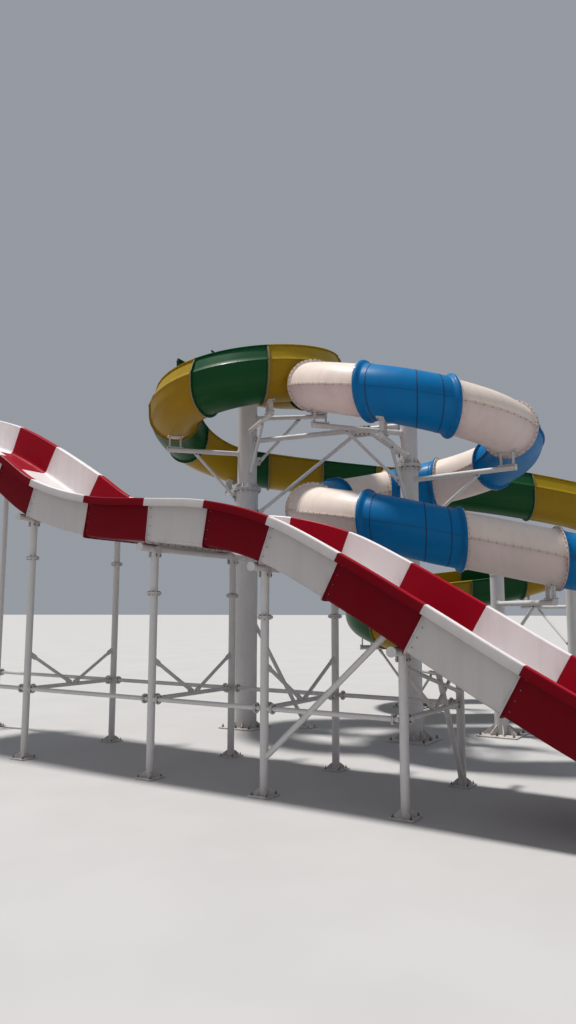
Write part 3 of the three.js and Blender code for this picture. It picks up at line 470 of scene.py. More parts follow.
def turned(b, start, axis, profile, sides, material="steel", grime_and_shade=0.0):
    """Round piece about an axis: profile lists distance along the axis and radius."""
    axis = axis.normalized()
    b.loft([ring(start + axis * d, axis, r, sides) for d, r in profile], material, caps=True, grime_and_shade=grime_and_shade)


def disc(b, at, axis, radius, height, sides, material="bolt", grime_and_shade=0.0):
    turned(b, at, axis, [(0, radius), (height, radius)], sides, material, grime_and_shade)


def pipe(b, p, q, radius, sides=24, grime_and_shade=0.12):
    length = (q - p).length
    count = max(1, int(length / 0.8))
    turned(b, p, q - p, [(length * i / count, radius) for i in range(count + 1)], sides, grime_and_shade=grime_and_shade)


def bolt(b, at, axis, size, height, washer=True):
    if washer:
        disc(b, at - axis * 0.002, axis, size * 1.35, 0.004, 10)
    turned(b, at, axis, [(0, size), (height, size), (height + 0.002, size * 0.8)], 6, "bolt")


def slab(b, centre, ax, ay, az, size, grime_and_shade, material="steel", bevel=0.004):
    """Flat plate with small chamfers: centre, three directions and full sizes."""
    hx, hy, hz = (s / 2 for s in size)
    e = min(bevel, hx * 0.4, hy * 0.4, hz * 0.4)
    rings = []
    for z, inset in ((-hz, e), (-hz + e, 0), (hz - e, 0), (hz, e)):
        x, y = hx - inset, hy - inset
        c = min(e * 2, x * 0.3, y * 0.3)
        corners = [(x, -y + c), (x, y - c), (x - c, y), (-x + c, y),
                   (-x, y - c), (-x, -y + c), (-x + c, -y), (x - c, -y)]
        rings.append([centre + ax * cx + ay * cy + az * z for cx, cy in corners])
    b.loft(rings, material, caps=True, grime_and_shade=grime_and_shade)


def prism(b, corners, thickness, grime_and_shade):
    """Flat steel plate of any outline, with its thickness to both sides of the corners."""
    normal = (corners[1] - corners[0]).cross(corners[2] - corners[0]).normalized()
    rings = [[c - normal * thickness / 2 for c in corners], [c + normal * thickness / 2 for c in corners]]
    b.loft(rings, "steel", caps=True, grime_and_shade=grime_and_shade)


def flange_pair(b, at, axis, radius, thickness, bolts, size, sides=32):
    """Two bolted discs around a pipe, with a fine gap between them."""
    gap, e = 0.0015, 0.003
    profile = [(0, radius - e), (e, radius), (thickness - e, radius), (thickness, radius - e)]
    for side in (-1, 1):
        turned(b, at + axis * side * gap, axis * side, profile, sides, grime_and_shade=0.7)
    disc(b, at - axis * 0.003, axis, radius - 0.006, 0.006, sides, "dark")
    for out in spokes(bolts, *basis(axis)):
        for side in (-1, 1):
            head = at + out * (radius - size * 2.1) + axis * side * (thickness + gap)
            bolt(b, head, axis * side, size, size * 0.8)


def seam_dirt(s, start, end, reach=0.09):
    """Grime that fades with the distance from a piece's two ends."""
    return min(1.0, math.exp(-(s - start) / reach) + math.exp(-(end - s) / reach))


# Closed spiral tube

def tube_ring(s, radius):
    f = tube_at(s)
    angles = [2 * math.pi * i / AROUND - math.pi / 2 for i in range(AROUND)]
    return [f.at(-radius * math.cos(a), radius * math.sin(a)) for a in angles]


def tube_skin(b, profile, material, inner=False):
    """Skin from distances and radii along the tube. An inner one faces the other way, and the outer
    skin of a cream piece is pinker and darker below its side seams: painted shade on its lower half."""
    start, end = profile[0][0], profile[-1][0]
    rings = [tube_ring(s, radius)[::1 if inner else -1] for s, radius in profile]
    dirt = [seam_dirt(s, start, end) for s, radius in profile]
    if material != "cream" or inner:
        b.loft(rings, material, grime_and_shade=[d for d in dirt for _ in range(AROUND)])
        return
    # painted shade: below the side seams a cream piece takes the darker, pinker cream
    half = AROUND // 2
    low, high = half // 2 - 1, half // 2 + half - 1
    dirt = [d for d in dirt for _ in range(half + 1)]
    b.loft([r[low:high + 1] for r in rings], "cream", closed=False, grime_and_shade=dirt)
    b.loft([r[high:] + r[:low + 1] for r in rings], "cream_low", closed=False, grime_and_shade=dirt)


def tube_edge(barrel):
    """End of a piece from its bore out over its flange or collar: distances and radii."""
    if barrel:
        return [(0, INNER), (0, COLLAR - 0.012), (0.004, COLLAR - 0.004), (0.014, COLLAR),
                (0.034, COLLAR - 0.002), (0.048, COLLAR - 0.012), (0.06, COLLAR - 0.03),
                (0.074, BARREL + 0.008), (0.088, BARREL)]
    return [(0, INNER), (0, FLANGE - 0.004), (0.003, FLANGE), (0.012, FLANGE), (0.015, FLANGE - 0.003),
            (0.018, OUTER + 0.01), (0.026, OUTER + 0.003), (0.036, OUTER)]


def side_strip(b, start, end, side, left, up, material, grime_and_shade):
    """Strip along one side of the tube, between two distances to the left and two heights."""
    corners = [(left[0], up[0]), (left[1], up[0]), (left[1], up[1]), (left[0], up[1])]
    rings = []
    for s in steps(start, end, 0.1):
        f = tube_at(s)
        rings.append([f.at(side * x, z) for x, z in corners][::-side])
    b.loft(rings, material, caps=True, grime_and_shade=grime_and_shade)


def barrel_groove(b, s):
    """Filler in the groove around a barrel, with a row of short pads of it on the skin."""
    tube_skin(b, [(s - 0.006, BARREL - 0.003), (s + 0.006, BARREL - 0.003)], "blue_joint")
    f = tube_at(s)
    for out in spokes(44, f.left, f.up):
        tip = (-out.cross(f.along)).normalized()
        slab(b, f.point + out * BARREL, f.along, tip, out, (0.018, 0.046, 0.004), 0.0, "blue_joint", 0.001)


def bolted_seams(b, start, end, colour):
    """Bolted side flanges where the upper and the lower half of a section meet."""
    count = max(2, round((end - start - 0.12) / 0.13))
    layers = [((0.0015, 0.011), 0.03, colour), ((-0.011, -0.0015), 0.03, colour),
              ((-0.0015, 0.0015), 0.027, "dark")]
    for side in (-1, 1):
        for up, proud, material in layers:
            side_strip(b, start + 0.016, end - 0.016, side, (OUTER - 0.006, OUTER + proud), up, material, 0.5)
        for i in range(count + 1):
            f = tube_at(start + 0.06 + (end - start - 0.12) * i / count)
            for turn in (-1, 1):
                bolt(b, f.at(side * (OUTER + 0.017), turn * 0.0105), f.up * turn, 0.0085, 0.007)


def tube_bolts(b, s, way, free):
    """Bolts behind a section's end flange, and on its face too where no piece follows."""
    f = tube_at(s)
    for out in spokes(36, f.left, f.up):
        at = f.point + out * (FLANGE - 0.014)
        bolt(b, at + f.along * way * 0.0155, f.along * way, 0.0095, 0.008)
        if free:
            bolt(b, at, -f.along * way, 0.0095, 0.008)


def tube_piece(k):
    start, end = TUBE_JOINTS[k] + HALF_GAP, TUBE_JOINTS[k + 1] - HALF_GAP
    barrel = k in BARRELS
    colour = "blue" if k % 2 else "cream"
    kind = "barrel" if barrel else "section"
    b = Build(f"tube_{kind}_{k + 1:02d}", "shell", colour, "tube_" + colour)
    edge = tube_edge(barrel)
    inside, body = edge[-1]
    grooves = [start + (end - start) * share for share in GROOVES] if barrel else []
    middle = [(s, body) for s in steps(start + inside + 0.01, end - inside - 0.01, 0.1)
              if all(abs(s - groove) > 0.02 for groove in grooves)]
    for s in grooves:
        middle += [(s + along, body - depth) for along, depth in GROOVE]
    profile = [(start + d, r) for d, r in edge] + sorted(middle) + [(end - d, r) for d, r in reversed(edge)]
    tube_skin(b, profile, colour)
    tube_skin(b, [(s, INNER) for s in steps(start, end, 0.12)], colour, inner=True)
    for s in grooves:
        barrel_groove(b, s)
    if barrel:
        for side in (-1, 1):
            side_strip(b, start + inside, end - inside, side, (BARREL - 0.004, BARREL + 0.0015),
                       (-0.003, 0.003), "blue_joint", 0.0)
    else:
        bolted_seams(b, start, end, colour)
        tube_bolts(b, start, 1, k == 0)
        tube_bolts(b, end, -1, k == len(TUBE_JOINTS) - 2)
    b.object()


# Open spiral flume

BOWL_STEPS = 16
CREASE_AT = BOWL_STEPS + 5  # the crease's upper point on a side's line, from the middle
LINE_COUNT = BOWL_STEPS + 11  # points of a side's line
HALF_OUTLINE = 2 * LINE_COUNT + 4  # inner line, five points of the rim and outer line, less one


def ease(s, a, b):
    """0 up to a, 1 from b on, and smooth in between."""
    t = min(1.0, max(0.0, (s - a) / (b - a)))
    return t * t * (3 - 2 * t)


def flume_wall(s, side):
    grows, tall, shrinks, low = LEFT_WALL if side > 0 else RIGHT_WALL
    rise = ease(s, grows, tall) * (1 - ease(s, shrinks, low))
    return LOW_WALL + WALL_GROWTH * rise


def crease_height(wall):
    return min(0.67, wall - 0.06)


def flume_side(s, side):
    """Inner line from the middle of the bottom over the crease to the lip: (width, height)."""
    height = flume_wall(s, side)
    crease = crease_height(height)
    lip = 0.49 - (height - crease) * 0.4 * height
    wall = 0.4895
    turns = [math.pi / 2 * i / BOWL_STEPS for i in range(BOWL_STEPS + 1)]
    line = [(BOWL * math.sin(a), BOWL * (1 - math.cos(a))) for a in turns]
    line += [(0.483, 0.53), (0.487, crease - 0.04), (wall, crease - 0.012), (wall + 0.007, crease - 0.003),
             (wall + 0.007, crease + 0.003), (wall - 0.0025, crease + 0.012)]
    line += [(wall + (lip - wall) * t, crease + (height - crease) * t) for t in (0.25, 0.6, 0.93)]
    return line + [(lip, height)]


def outer_line(line, away, top):
    """A side's line moved outwards, with its points kept in order below the rim."""
    points = [line[0]] + line
    outer = []
    for i in range(1, len(points) - 1):
        (x0, z0), (x1, z1) = points[i - 1], points[i + 1]
        length = math.hypot(x1 - x0, z1 - z0)
        x, z = points[i]
        limit = top - 0.0004 * (len(points) - i)
        outer.append((x + (z1 - z0) / length * away, min(z - (x1 - x0) / length * away, limit)))
    return outer


def flume_section(s, proud=0.0):
    """Closed outline of the skin with a rolled rim, proud of it at a flange: list of (left, up)."""
    halves = []
    for side in (-1, 1):
        line = flume_side(s, side)
        lip, height = line[-1]
        away = FLUME_SKIN + proud
        reach = lip + max(0.045, away)
        rim = [(lip + 0.012, height + 0.004), (reach - 0.01, height - 0.001), (reach, height - 0.008),
               (reach, height - 0.022), (reach - 0.008, height - 0.026)]
        top = height - 0.03 - proud * 0.4
        outer = outer_line(line, away, top) + [(lip + 0.016 + max(0.0, proud - 0.002) * 0.98, top)]
        halves.append([[(side * x, z) for x, z in part] for part in (line, rim, outer)])
    (line_r, rim_r, outer_r), (line_l, rim_l, outer_l) = halves
    return outer_r + rim_r[::-1] + line_r[::-1] + line_l[1:] + rim_l + outer_l[:0:-1]


def flume_bolts(b, s, way, proud):
    """Bolts through an end flange, about 9 cm apart on both sides."""
    f = flume_at(s)
    away = FLUME_SKIN + proud * 0.55
    for side in (-1, 1):
        line = flume_side(s, side)
        walk = 0.0
        for (x0, z0), (x, z) in zip(line, line[1:]):
            length = math.hypot(x - x0, z - z0)
            walk += length
            if walk > 0.085 and z < line[-1][1] - 0.06 and length > 0.02:
                at = f.at(side * (x + (z - z0) / length * away), z - (x - x0) / length * away, way * 0.0125)
                bolt(b, at, f.along * way, 0.009, 0.008)
                walk = 0.0


def flume_piece(k):
    start, end = FLUME_JOINTS[k] + HALF_GAP, FLUME_JOINTS[k + 1] - HALF_GAP
    colour = "yellow" if k % 2 else "green"
    b = Build(f"flume_section_{k + 1:02d}", "shell", colour, "flume_" + colour)
    first, final = FLUME_FLANGES
    stations = [(start, first), (start + 0.01, first), (start + 0.014, 0.0)]
    stations += [(s, 0.0) for s in steps(start + 0.03, end - 0.03, 0.1)]
    stations += [(end - 0.016, 0.0), (end - 0.012, final), (end, final)]
    rings, dirt = [], []
    for s, proud in stations:
        f = flume_at(s)
        section = flume_section(s, proud)
        rings.append([f.at(x, z) for x, z in section])
        for x, z in section:
            crease = crease_height(flume_wall(s, 1 if x > 0 else -1))
            # painted shade: a dark line along the crease of each outer wall
            line = math.exp(-((z - crease) / 0.02) ** 2) if abs(x) > 0.3 else 0.0
            dirt.append(min(1.0, seam_dirt(s, start, end, 0.07) + 0.9 * line))
    ends = (0, len(stations) - 2)

    def band(j, i):
        i = min(i, 2 * HALF_OUTLINE - 1 - i)
        outside = i < HALF_OUTLINE - CREASE_AT
        # flange faces: paler raw fibreglass with a painted highlight
        if j in ends and outside:
            return "flange_edge"
        # painted sunlight: above the crease the band takes the lighter copy of the colour
        return colour + "_high" if outside and i >= CREASE_AT else colour
    b.loft(rings, colour, caps=True, grime_and_shade=dirt, band=band)
    flume_bolts(b, start, 1, first)
    flume_bolts(b, end, -1, final)
    b.object()


# Wave slide

LIP_TOP_AT, FLOOR_AT = 13, 23  # where the lip's top and the floor begin on half of the outline


def wave_section(proud, low):
    """Closed outline with folded lips and rounded floor corners: list of (left, up). At a flange the
    walls stand out by proud and the floor reaches lower by low."""
    half, inside, depth = WAVE_HALF, WAVE_INSIDE, WAVE_DEPTH
    foot = inside - 0.012
    wall = WAVE_SKIN + proud
    under = WAVE_UNDER - low
    outer = [(inside - 0.075, under), (foot + wall - 0.03, under + 0.004),
             (foot + wall - 0.006, under + 0.022), (foot + wall, 0.04 - depth - low * 0.4),
             (inside + wall - 0.008, -0.3), (inside + wall, -0.035), (inside + wall + 0.012, -0.02),
             (half - 0.03, -0.018), (half - 0.016, -0.028)]
    lip = [(half - 0.014, -0.11), (half, -0.11), (half, -0.022), (half - 0.004, -0.008),
           (half - 0.016, 0.0), (inside + 0.03, 0.002), (inside + 0.01, -0.001), (inside, -0.012)]
    turns = [math.pi / 2 * i / 6 for i in range(1, 6)]
    floor_corner = [(foot - 0.06 * (1 - math.cos(a)), 0.075 - depth - 0.075 * math.sin(a)) for a in turns]
    side = outer + lip + [(inside - 0.01, -0.3), (foot, 0.075 - depth)] + floor_corner
    side.append((inside - 0.075, -depth))
    return side + [(-x, z) for x, z in reversed(side)]


def wave_bolts(b, start, end):
    """Bolt rows on the outer walls beside the joint, and through the flanges under the floor."""
    f = wave_at(start + 0.055)
    for side in (-1, 1):
        for i in range(4):
            at = f.at(side * (WAVE_INSIDE + 0.014), -0.13 - 0.125 * i)
            bolt(b, at, f.left * side, 0.0075, 0.006, washer=False)
    for i in range(12):
        across = -0.88 + 1.76 * i / 11
        for x, way in ((start, 1), (end, -1)):
            f = wave_at(x)
            bolt(b, f.at(across, -WAVE_DEPTH - 0.034, way * 0.0145), f.along * way, 0.009, 0.008)


def wave_piece(k):
    start, end = WAVE_JOINTS[k][0] + HALF_GAP, WAVE_JOINTS[k + 1][0] - HALF_GAP
    colour = "red" if k % 2 else "white"
    b = Build(f"wave_section_{k + 1:02d}", "shell", colour, "wave_" + colour)
    first, final = (0.012, 0.03), (0.012, 0.034)
    stations = [(start, *first), (start + 0.012, *first), (start + 0.015, 0.0, 0.0)]
    stations += [(x, 0.0, 0.0) for x in steps(start + 0.03, end - 0.04, 0.09)]
    stations += [(end - 0.018, 0.0, 0.0), (end - 0.015, *final), (end, *final)]
    rings, dirt = [], []
    for x, proud, low in stations:
        f = wave_at(x)
        section = wave_section(proud, low)
        rings.append([f.at(left, up) for left, up in section])
        for left, up in section:
            under = 0.35 if up < -WAVE_DEPTH + 0.02 or (abs(left) > WAVE_HALF - 0.11 and up < -0.3) else 0.0
            dirt.append(min(1.0, seam_dirt(x, start, end, 0.06) * 0.8 + under))
    count = len(rings[0])

    def band(j, i):
        from_middle = min(i, count - 2 - i)
        # painted light and shade: floor and inner walls take lighter copies of the colour than the outer
        # walls
        if from_middle >= FLOOR_AT:
            return colour + "_floor"
        return colour + "_inside" if from_middle >= LIP_TOP_AT else colour
    b.loft(rings, colour, caps=True, grime_and_shade=dirt, band=band)
    wave_bolts(b, start, end)
    b.object()


# Columns and arms

def lug(b, at, towards, length=0.16, width=0.1):
    """Bolted upright plate at the end of a brace."""
    towards = towards.normalized()
    side = (UP - towards * UP.dot(towards)).normalized()
    normal = towards.cross(side)
    slab(b, at + towards * length / 2, towards, side, normal, (length, width, 0.012), 0.3)
    for d in (0.045, length - 0.04):
        for way in (-1, 1):
            bolt(b, at + towards * d + normal * way * 0.006, normal * way, 0.013, 0.011)


def base_plate(b, centre, size, radius, thickness=0.03):
    """Square plate on the ground with gussets around the column, and nuts on its anchor bolts."""
    large = size > 0.4
    reach = size / 2
    low = centre + UP * thickness
    slab(b, centre + UP * thickness / 2, RIGHT, BACK, UP, (size, size, thickness), 0.8, bevel=0.006)
    for out in spokes(8 if large else 4, RIGHT, BACK):
        tip = min(reach * 0.88, reach * 0.8 / max(abs(out.x), abs(out.y)))
        tip = max(tip, radius + 0.05)
        height = UP * min(0.17, tip - radius)
        near, far = low + out * (radius - 0.01), low + out * tip
        corners = [near, far, far + UP * 0.03, low + out * (radius + 0.015) + height, near + height]
        prism(b, corners, 0.014, 0.8)
    off = reach - min(0.07, reach * 0.27)
    grow = 1.0 if large else 0.62
    sides = (-1, 0, 1) if large else (-1, 1)
    for sx, sy in [(sx, sy) for sx in sides for sy in sides if sx or sy]:
        at = low + RIGHT * (sx * off) + BACK * (sy * off)
        disc(b, at - UP * 0.001, UP, 0.03 * grow, 0.005, 16)
        disc(b, at, UP, 0.022 * grow, 0.024 * grow, 6)
        disc(b, at, UP, 0.012 * grow, 0.055 * grow, 10)


def splice(b, at, radius, flange, bolts):
    """Ribbed flanges where two lengths of a column meet."""
    flange_pair(b, at, UP, flange, 0.026, bolts, 0.016, 48)
    for out in spokes(bolts, RIGHT, BACK, 0):
        for side in (-1, 1):
            foot = at + UP * side * 0.0275
            tall = UP * side * 0.1
            near, far = foot + out * (radius - 0.005), foot + out * (flange - 0.012)
            corners = [near, far, far + UP * side * 0.012, foot + out * (radius + 0.004) + tall, near + tall]
            prism(b, corners, 0.01, 0.6)


def column(b, centre, parts):
    """Upright pipes, given by their tops and radii, with a cap and the base plate."""
    low = 0.01
    for top, radius in parts:
        pipe(b, tower_point(centre, low), tower_point(centre, top), radius, 48, 0.15)
        low = top
    cap = [(0, radius + 0.012), (0.01, radius + 0.012), (0.014, radius + 0.006)]
    turned(b, tower_point(centre, top - 0.004), UP, cap, 48, grime_and_shade=0.5)
    base_plate(b, tower_point(centre), COLUMN_PLATE, parts[0][1])


def cradle_line(radius, middle):
    """Corners of the strip under a slide, on its inner and on its outer face: (left, up)."""
    if middle:
        reach, wide, deep = 18, radius + CRADLE, radius + CRADLE + 0.0015
    else:
        radius += 0.0015
        reach, wide, deep = 25.7, radius + CRADLE, radius + CRADLE
    turns = [math.radians(-reach + 2 * reach * i / 8) for i in range(9)]
    inner = [(radius * math.sin(a), middle - radius * math.cos(a)) for a in turns]
    outer = [(wide * math.sin(a), middle - deep * math.cos(a)) for a in turns]
    return inner, outer


def cradle(b, route, s, radius, middle):
    inner, outer = cradle_line(radius, middle)
    rings = []
    for d in (-0.06, -0.02, 0.02, 0.06):
        f = route(s + d)
        rings.append([f.at(x, z) for x, z in outer] + [f.at(x, z) for x, z in reversed(inner)])
    b.loft(rings, "steel", caps=True, grime_and_shade=0.4)
    f = route(s)
    for x, z in (outer[1], outer[7]):
        normal = (f.left * x + f.up * (z - middle)).normalized()
        for d in (-0.035, 0.035):
            bolt(b, f.at(x, z, d), normal, 0.011, 0.009)


def arm_brace(b, foot, tip, out, column_radius):
    """Brace under an arm with bolted lugs, and its plate on the column."""
    top = foot.lerp(tip, 0.72) - UP * ARM_R
    low = foot + out * (column_radius + 0.075)
    low.z = max(foot.z - 0.9, 0.2)
    slope = (top - low).normalized()
    pipe(b, low + slope * 0.02, top - slope * 0.03, 0.03, 20)
    lug(b, low - slope * 0.05, slope, 0.14, 0.075)
    lug(b, top + slope * 0.02, -slope, 0.14, 0.075)
    plate = foot + out * (column_radius + 0.032)
    plate.z = low.z - 0.01
    slab(b, plate, out, out.cross(UP), UP, (0.08, 0.012, 0.17), 0.7)


def stands(b, f, tip, out, radius, middle):
    """Bolted foot plate on an arm and the two ribbed stands up to the slide's cradle."""
    across = out.cross(UP)
    slab(b, tip + UP * 0.052, out, across, UP, (0.32, 0.11, 0.012), 0.6)
    low = tip.z + 0.05
    for shift in (-0.11, 0.11):
        at = tip + out * shift
        lateral = out.dot(f.left) * shift
        high = f.point.z + (middle - math.sqrt(radius ** 2 - lateral ** 2)) * f.up.z
        high += f.slope * out.dot(f.along) * shift
        at.z = (low + high - 0.006) / 2
        slab(b, at, out, across, UP, (0.012, 0.08, high - 0.006 - low), 0.5)
        at.z = (low + high - 0.012) / 2
        slab(b, at, across, out, UP, (0.01, 0.034, high - 0.014 - low), 0.5)
    for shift in (-0.15, 0.15):
        for side in (-0.04, 0.04):
            bolt(b, tip + out * shift + across * side + UP * 0.058, UP, 0.012, 0.01)


def arm(b, centre, column_radius, route, s, radius, middle=0.0):
    """Pipe arm from a column to under a slide's round bottom: its radius, and its middle's height."""
    f = route(s)
    under = f.at(0, middle - radius - CRADLE)
    foot = tower_point(centre, under.z - RISE)
    tip = Vector((under.x, under.y, under.z - RISE))
    out = (tip - foot).normalized()
    end = tip + out * 0.16
    pipe(b, foot + out * (column_radius * 0.7), end - out * 0.004, ARM_R)
    turned(b, end - out * 0.012, out, [(0, 0.052), (0.008, 0.052), (0.011, 0.048)], 24, grime_and_shade=0.6)
    collar = [(0, 0.072), (0.01, 0.07), (0.022, 0.05)]
    turned(b, foot + out * (column_radius - 0.004), out, collar, 28, grime_and_shade=0.8)
    arm_brace(b, foot, tip, out, column_radius)
    cradle(b, route, s, radius, middle)
    stands(b, f, tip, out, radius, middle)


def tube_arm(b, centre, column_radius, s):
    barrel = any(TUBE_JOINTS[k] < s < TUBE_JOINTS[k + 1] for k in BARRELS)
    arm(b, centre, column_radius, tube_at, s, BARREL if barrel else OUTER)


def flume_arm(b, centre, column_radius, s):
    arm(b, centre, column_radius, flume_at, s, BOWL_UNDER, BOWL)


def main_column():
    b = Build("main_column")
    column(b, MAIN, [(MAIN_TOP - COLUMN_CAP, COLUMN_R)])
    splice(b, tower_point(MAIN, MAIN_SPLICE), COLUMN_R, 0.24, 12)
    for compass in MAIN_ARMS:
        tube_arm(b, MAIN, COLUMN_R, (compass - TUBE_START) * TUBE_DEG - BEFORE)
    b.object()


def flume_column():
    b = Build("flume_column")
    column(b, FLUME, [(FLUME_SPLICE, FLUME_FOOT_R), (FLUME_TOP - COLUMN_CAP, FLUME_COLUMN_R)])
    splice(b, tower_point(FLUME, FLUME_SPLICE), FLUME_COLUMN_R, 0.29, 14)
    for compass in FLUME_ARMS:
        flume_arm(b, FLUME, FLUME_COLUMN_R, (FLUME_START - compass) * FLUME_DEG - BEFORE)
    # raking leg and its foot plate
    foot = tower_point((FLUME[0] + LEG_REACH, FLUME[1]), 0.02)
    pipe(b, tower_point(FLUME, LEG_TOP), foot, HEAVY_BRACE_R, 20)
    slab(b, foot - UP * 0.0075, RIGHT, BACK, UP, (0.3, 0.3, 0.025), 0.8)
    for sx in (-0.11, 0.11):
        for sy in (-0.11, 0.11):
            bolt(b, foot + Vector((sx, sy, 0.005)), UP, 0.016, 0.016)
    b.object()


def exit_column():
    b = Build("exit_column")
    column(b, EXIT, [(EXIT_TOP - COLUMN_CAP, SMALL_COLUMN_R)])
    tube_arm(b, EXIT, SMALL_COLUMN_R, TUBE_JOINTS[-2] - BEFORE)
    b.object()


def back_column(name, centre, distances):
    b = Build(name)
    top = max(flume_height(s) for s in distances)
    column(b, centre, [(top - COLUMN_CAP, SMALL_COLUMN_R)])
    for s in distances:
        flume_arm(b, centre, SMALL_COLUMN_R, s)
    b.object()


def shoe(b, at, way):
    """Pair of round bolted plates where the link meets a column."""
    turned(b, at + way * 0.002, way, [(0, 0.095), (0.014, 0.095), (0.017, 0.092)], 28, grime_and_shade=0.8)
    disc(b, at + way * 0.017, way, 0.088, 0.014, 28, "steel", 0.8)
    for out in spokes(6, *basis(way), 0):
        bolt(b, at + way * 0.031 + out * 0.068, way, 0.0105, 0.009)


def link_strut():
    """Strut between the two tall columns, with a brace up to it from each of them."""
    b = Build("link_strut")
    start, end = tower_point(FLUME, LINK_Z), tower_point(MAIN, LINK_Z)
    out = (end - start).normalized()
    start, end = start + out * FLUME_COLUMN_R, end - out * COLUMN_R
    pipe(b, start, end, 0.05)
    shoe(b, start, out)
    shoe(b, end, -out)
    for at, way, height, share in ((start + out * 0.03, out, 4.26, 0.745), (end, -out, 5.25, 0.775)):
        foot = Vector((at.x, at.y, height))
        shoe(b, foot, way)
        head = start.lerp(end, share)
        slope = (head - foot).normalized()
        pipe(b, foot + way * 0.02, head, 0.034, 20)
        lug(b, head - slope * 0.05, -slope)
        lug(b, foot + way * 0.03 + slope * 0.02, slope, 0.13)
    # clamp plates where the braces meet the strut
    head = start.lerp(end, 0.76)
    side = out.cross(UP)
    for way in (-1, 1):
        slab(b, head - UP * 0.03 + side * way * 0.045, out, UP, side, (0.34, 0.2, 0.012), 0.8)
        for dx in (-0.13, -0.045, 0.045, 0.13):
            for dz in (-0.1, 0.045):
                bolt(b, head + out * dx + UP * dz + side * way * 0.051, side * way, 0.014, 0.012)
    b.object()


# Trestles

def beam_middle(k):
    return wave_at(TRESTLES[k]).at(0, WAVE_UNDER - POST_R - 0.03)


def wave_pad(b, x, low, high):
    """Pad under the slide from one place across to another: a plate on two upright ribs."""
    f = wave_at(x)
    across = (low + high) / 2
    for d in (-0.052, 0.052):
        slab(b, f.at(across, WAVE_UNDER - 0.023, d), f.left, f.up, f.along, (high - low, 0.045, 0.012), 0.5)
    slab(b, f.at(across, WAVE_UNDER - 0.007), f.left, f.along, f.up, (high - low, 0.12, 0.012), 0.5)


def brace(b, p, q, radius):
    slope = (q - p).normalized()
    pipe(b, p, q, radius, 18)
    lug(b, p + slope * 0.05, slope, 0.13, 0.08)
    lug(b, q - slope * 0.03, -slope, 0.13, 0.08)


def rail(b, p, q, cut=0.0):
    """Rail between the middles of two posts, cut short at the far one, with a flange beside each post."""
    way = (q - p).normalized()
    pipe(b, p, q - way * cut, RAIL_R, 20)
    for at in (p + way * 0.125, q - way * 0.125):
        flange_pair(b, at, way, 0.068, 0.012, 4, 0.01, 24)


def post(b, foot, height):
    """Post with its foot plate, its splice and the saddle plates that hold the cross beam."""
    top = foot + UP * height
    pipe(b, foot + UP * 0.01, top, POST_R)
    base_plate(b, foot, POST_PLATE, POST_R, 0.02)
    splice_z = height - 0.64
    if splice_z > LOWEST_RAILED:
        flange_pair(b, foot + UP * splice_z, UP, 0.105, 0.018, 6, 0.012)
    for way in (-RIGHT, RIGHT):
        slab(b, top - UP * 0.05 + way * 0.061, BACK, UP, RIGHT, (0.13, 0.16, 0.01), 0.7)
        for dy in (-0.045, 0.045):
            bolt(b, top + BACK * dy - UP * 0.1 + way * 0.066, way, 0.011, 0.009)


def trestle(k):
    """Two posts with their cross beam, tie and braces, and the rails to the next trestle."""
    b = Build(f"trestle_{k + 1}")
    x, _, beam_z = beam_middle(k)

    def spot(y, z):
        return Vector((x, y, z))
    wave_pad(b, TRESTLES[k], -0.7, 0.7)
    near_end, far_end = NEAR_Y - BEAM_OVERHANG, FAR_Y + BEAM_OVERHANG
    pipe(b, spot(near_end + 0.012, beam_z), spot(far_end - 0.012, beam_z), POST_R)
    for y, way in ((near_end, -BACK), (far_end, BACK)):
        cap = [(0, 0.062), (0.01, 0.062), (0.013, 0.058)]
        turned(b, spot(y, beam_z) - way * 0.014, way, cap, 28, grime_and_shade=0.4)
    f = wave_at(TRESTLES[k])
    for across in (-0.62, -0.2, 0.2, 0.62):
        slab(b, f.at(across, WAVE_UNDER - 0.04), f.along, f.left, f.up, (0.08, 0.012, 0.06), 0.6)
    for y in (NEAR_Y, FAR_Y):
        post(b, spot(y, 0), beam_z)
        if k + 1 < len(TRESTLES) and beam_middle(k + 1).z > LOWEST_RAILED:
            rail(b, spot(y, RAIL_Z), Vector((beam_middle(k + 1).x, y, RAIL_Z)), POST_R)
    tie = min(RAIL_Z, beam_z - 0.3)
    rail(b, spot(NEAR_Y, tie), spot(FAR_Y, tie))
    middle = (NEAR_Y + FAR_Y) / 2
    if beam_z > 1.5:
        for y in (NEAR_Y, FAR_Y):
            brace(b, spot(y, tie + 0.56), spot(middle, tie), SHORT_BRACE_R)
    if k == STRUTTED:
        brace(b, spot(middle, beam_z - 0.02), spot(FAR_Y, 0.06), HEAVY_BRACE_R)
        brace(b, spot(NEAR_Y, beam_z - 0.18), spot(FAR_Y, tie + 0.15), SHORT_BRACE_R)
    if k == RAKED:
        across = NEAR_Y - WAVE_Y
        brace(b, spot(NEAR_Y, 0.45), wave_at(RAKE_X).at(across, WAVE_UNDER - 0.0225), HEAVY_BRACE_R)
        wave_pad(b, RAKE_X, across - 0.06, across + 0.06)
    b.object()


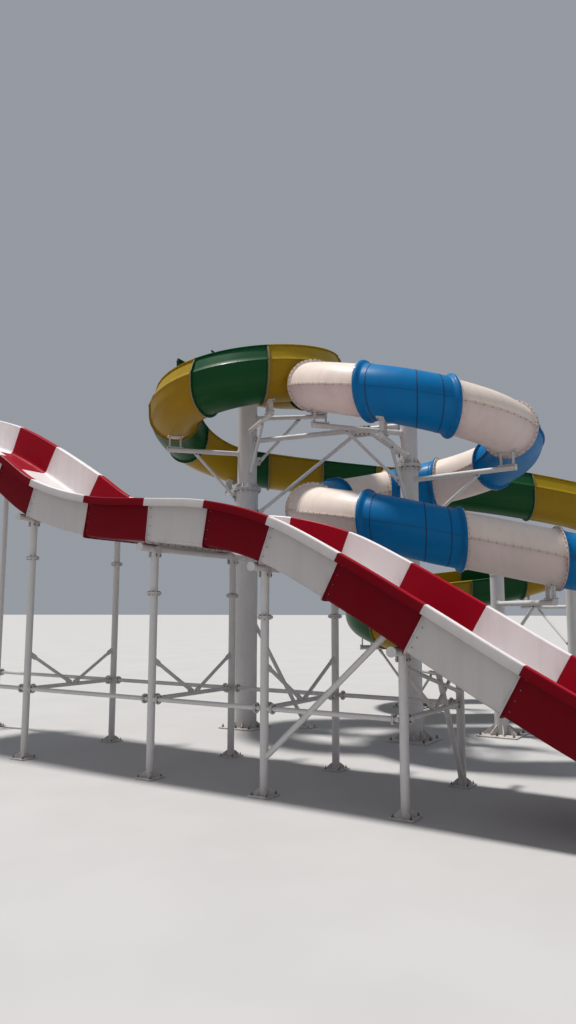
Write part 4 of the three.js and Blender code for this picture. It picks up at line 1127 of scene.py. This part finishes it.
for make, joints in ((tube_piece, TUBE_JOINTS), (flume_piece, FLUME_JOINTS), (wave_piece, WAVE_JOINTS)):
    for index in range(len(joints) - 1):
        make(index)
main_column()
flume_column()
exit_column()
back_column("back_column_left", BACK_LEFT, BACK_LEFT_ARMS)
back_column("back_column_right", BACK_RIGHT, BACK_RIGHT_ARMS)
link_strut()
for index in range(len(TRESTLES)):
    trestle(index)


# Floor, light and camera

def pale_floor():
    bpy.ops.mesh.primitive_circle_add(vertices=128, radius=400, fill_type="NGON", location=(0, 0, -0.001))
    floor = bpy.context.object
    floor.name = "pale_floor"
    n = Nodes("pale_floor")
    patches = n.range(n.noise(0.6), 0.3, 0.7)
    n.surface({"Base Color": n.mix(patches, (0.47, 0.465, 0.46), (0.445, 0.44, 0.435)), "Roughness": 0.85})
    floor.data.materials.append(n.material)


def soft_sky():
    world = bpy.data.worlds.new("soft_sky")
    scene.world = world
    world.use_nodes = True
    sky = world.node_tree.nodes["Background"]
    sky.inputs["Color"].default_value = (0.84, 0.9, 1.0, 1)
    sky.inputs["Strength"].default_value = 0.36


def sun(name, direction, strength, angle, colour):
    data = bpy.data.lights.new(name, "SUN")
    data.energy = strength
    data.angle = math.radians(angle)
    data.color = colour
    lamp = bpy.data.objects.new(name, data)
    lamp.rotation_euler = Vector(direction).to_track_quat("-Z", "Y").to_euler()
    scene.collection.objects.link(lamp)


def camera():
    """The photograph's viewpoint; its focal length is 760 pixels in an image 1024 pixels high."""
    data = bpy.data.cameras.new("camera")
    data.sensor_width = 36
    data.lens = 760 / 1024 * data.sensor_width
    data.clip_end = 1000
    viewer = bpy.data.objects.new("camera", data)
    viewer.location = (5.5023, -13.0703, 2.3)
    viewer.rotation_euler = (math.radians(97.4), -0.002, TURN)
    scene.collection.objects.link(viewer)
    scene.camera = viewer
    scene.view_settings.view_transform = "Standard"


pale_floor()
soft_sky()
sun("high_key", (0.34, 0.05, -1.0), 4.1, 5, (1.0, 0.97, 0.93))
sun("front_fill", (-0.3, 0.9, -0.35), 0.12, 60, (0.95, 0.97, 1.0))
camera()
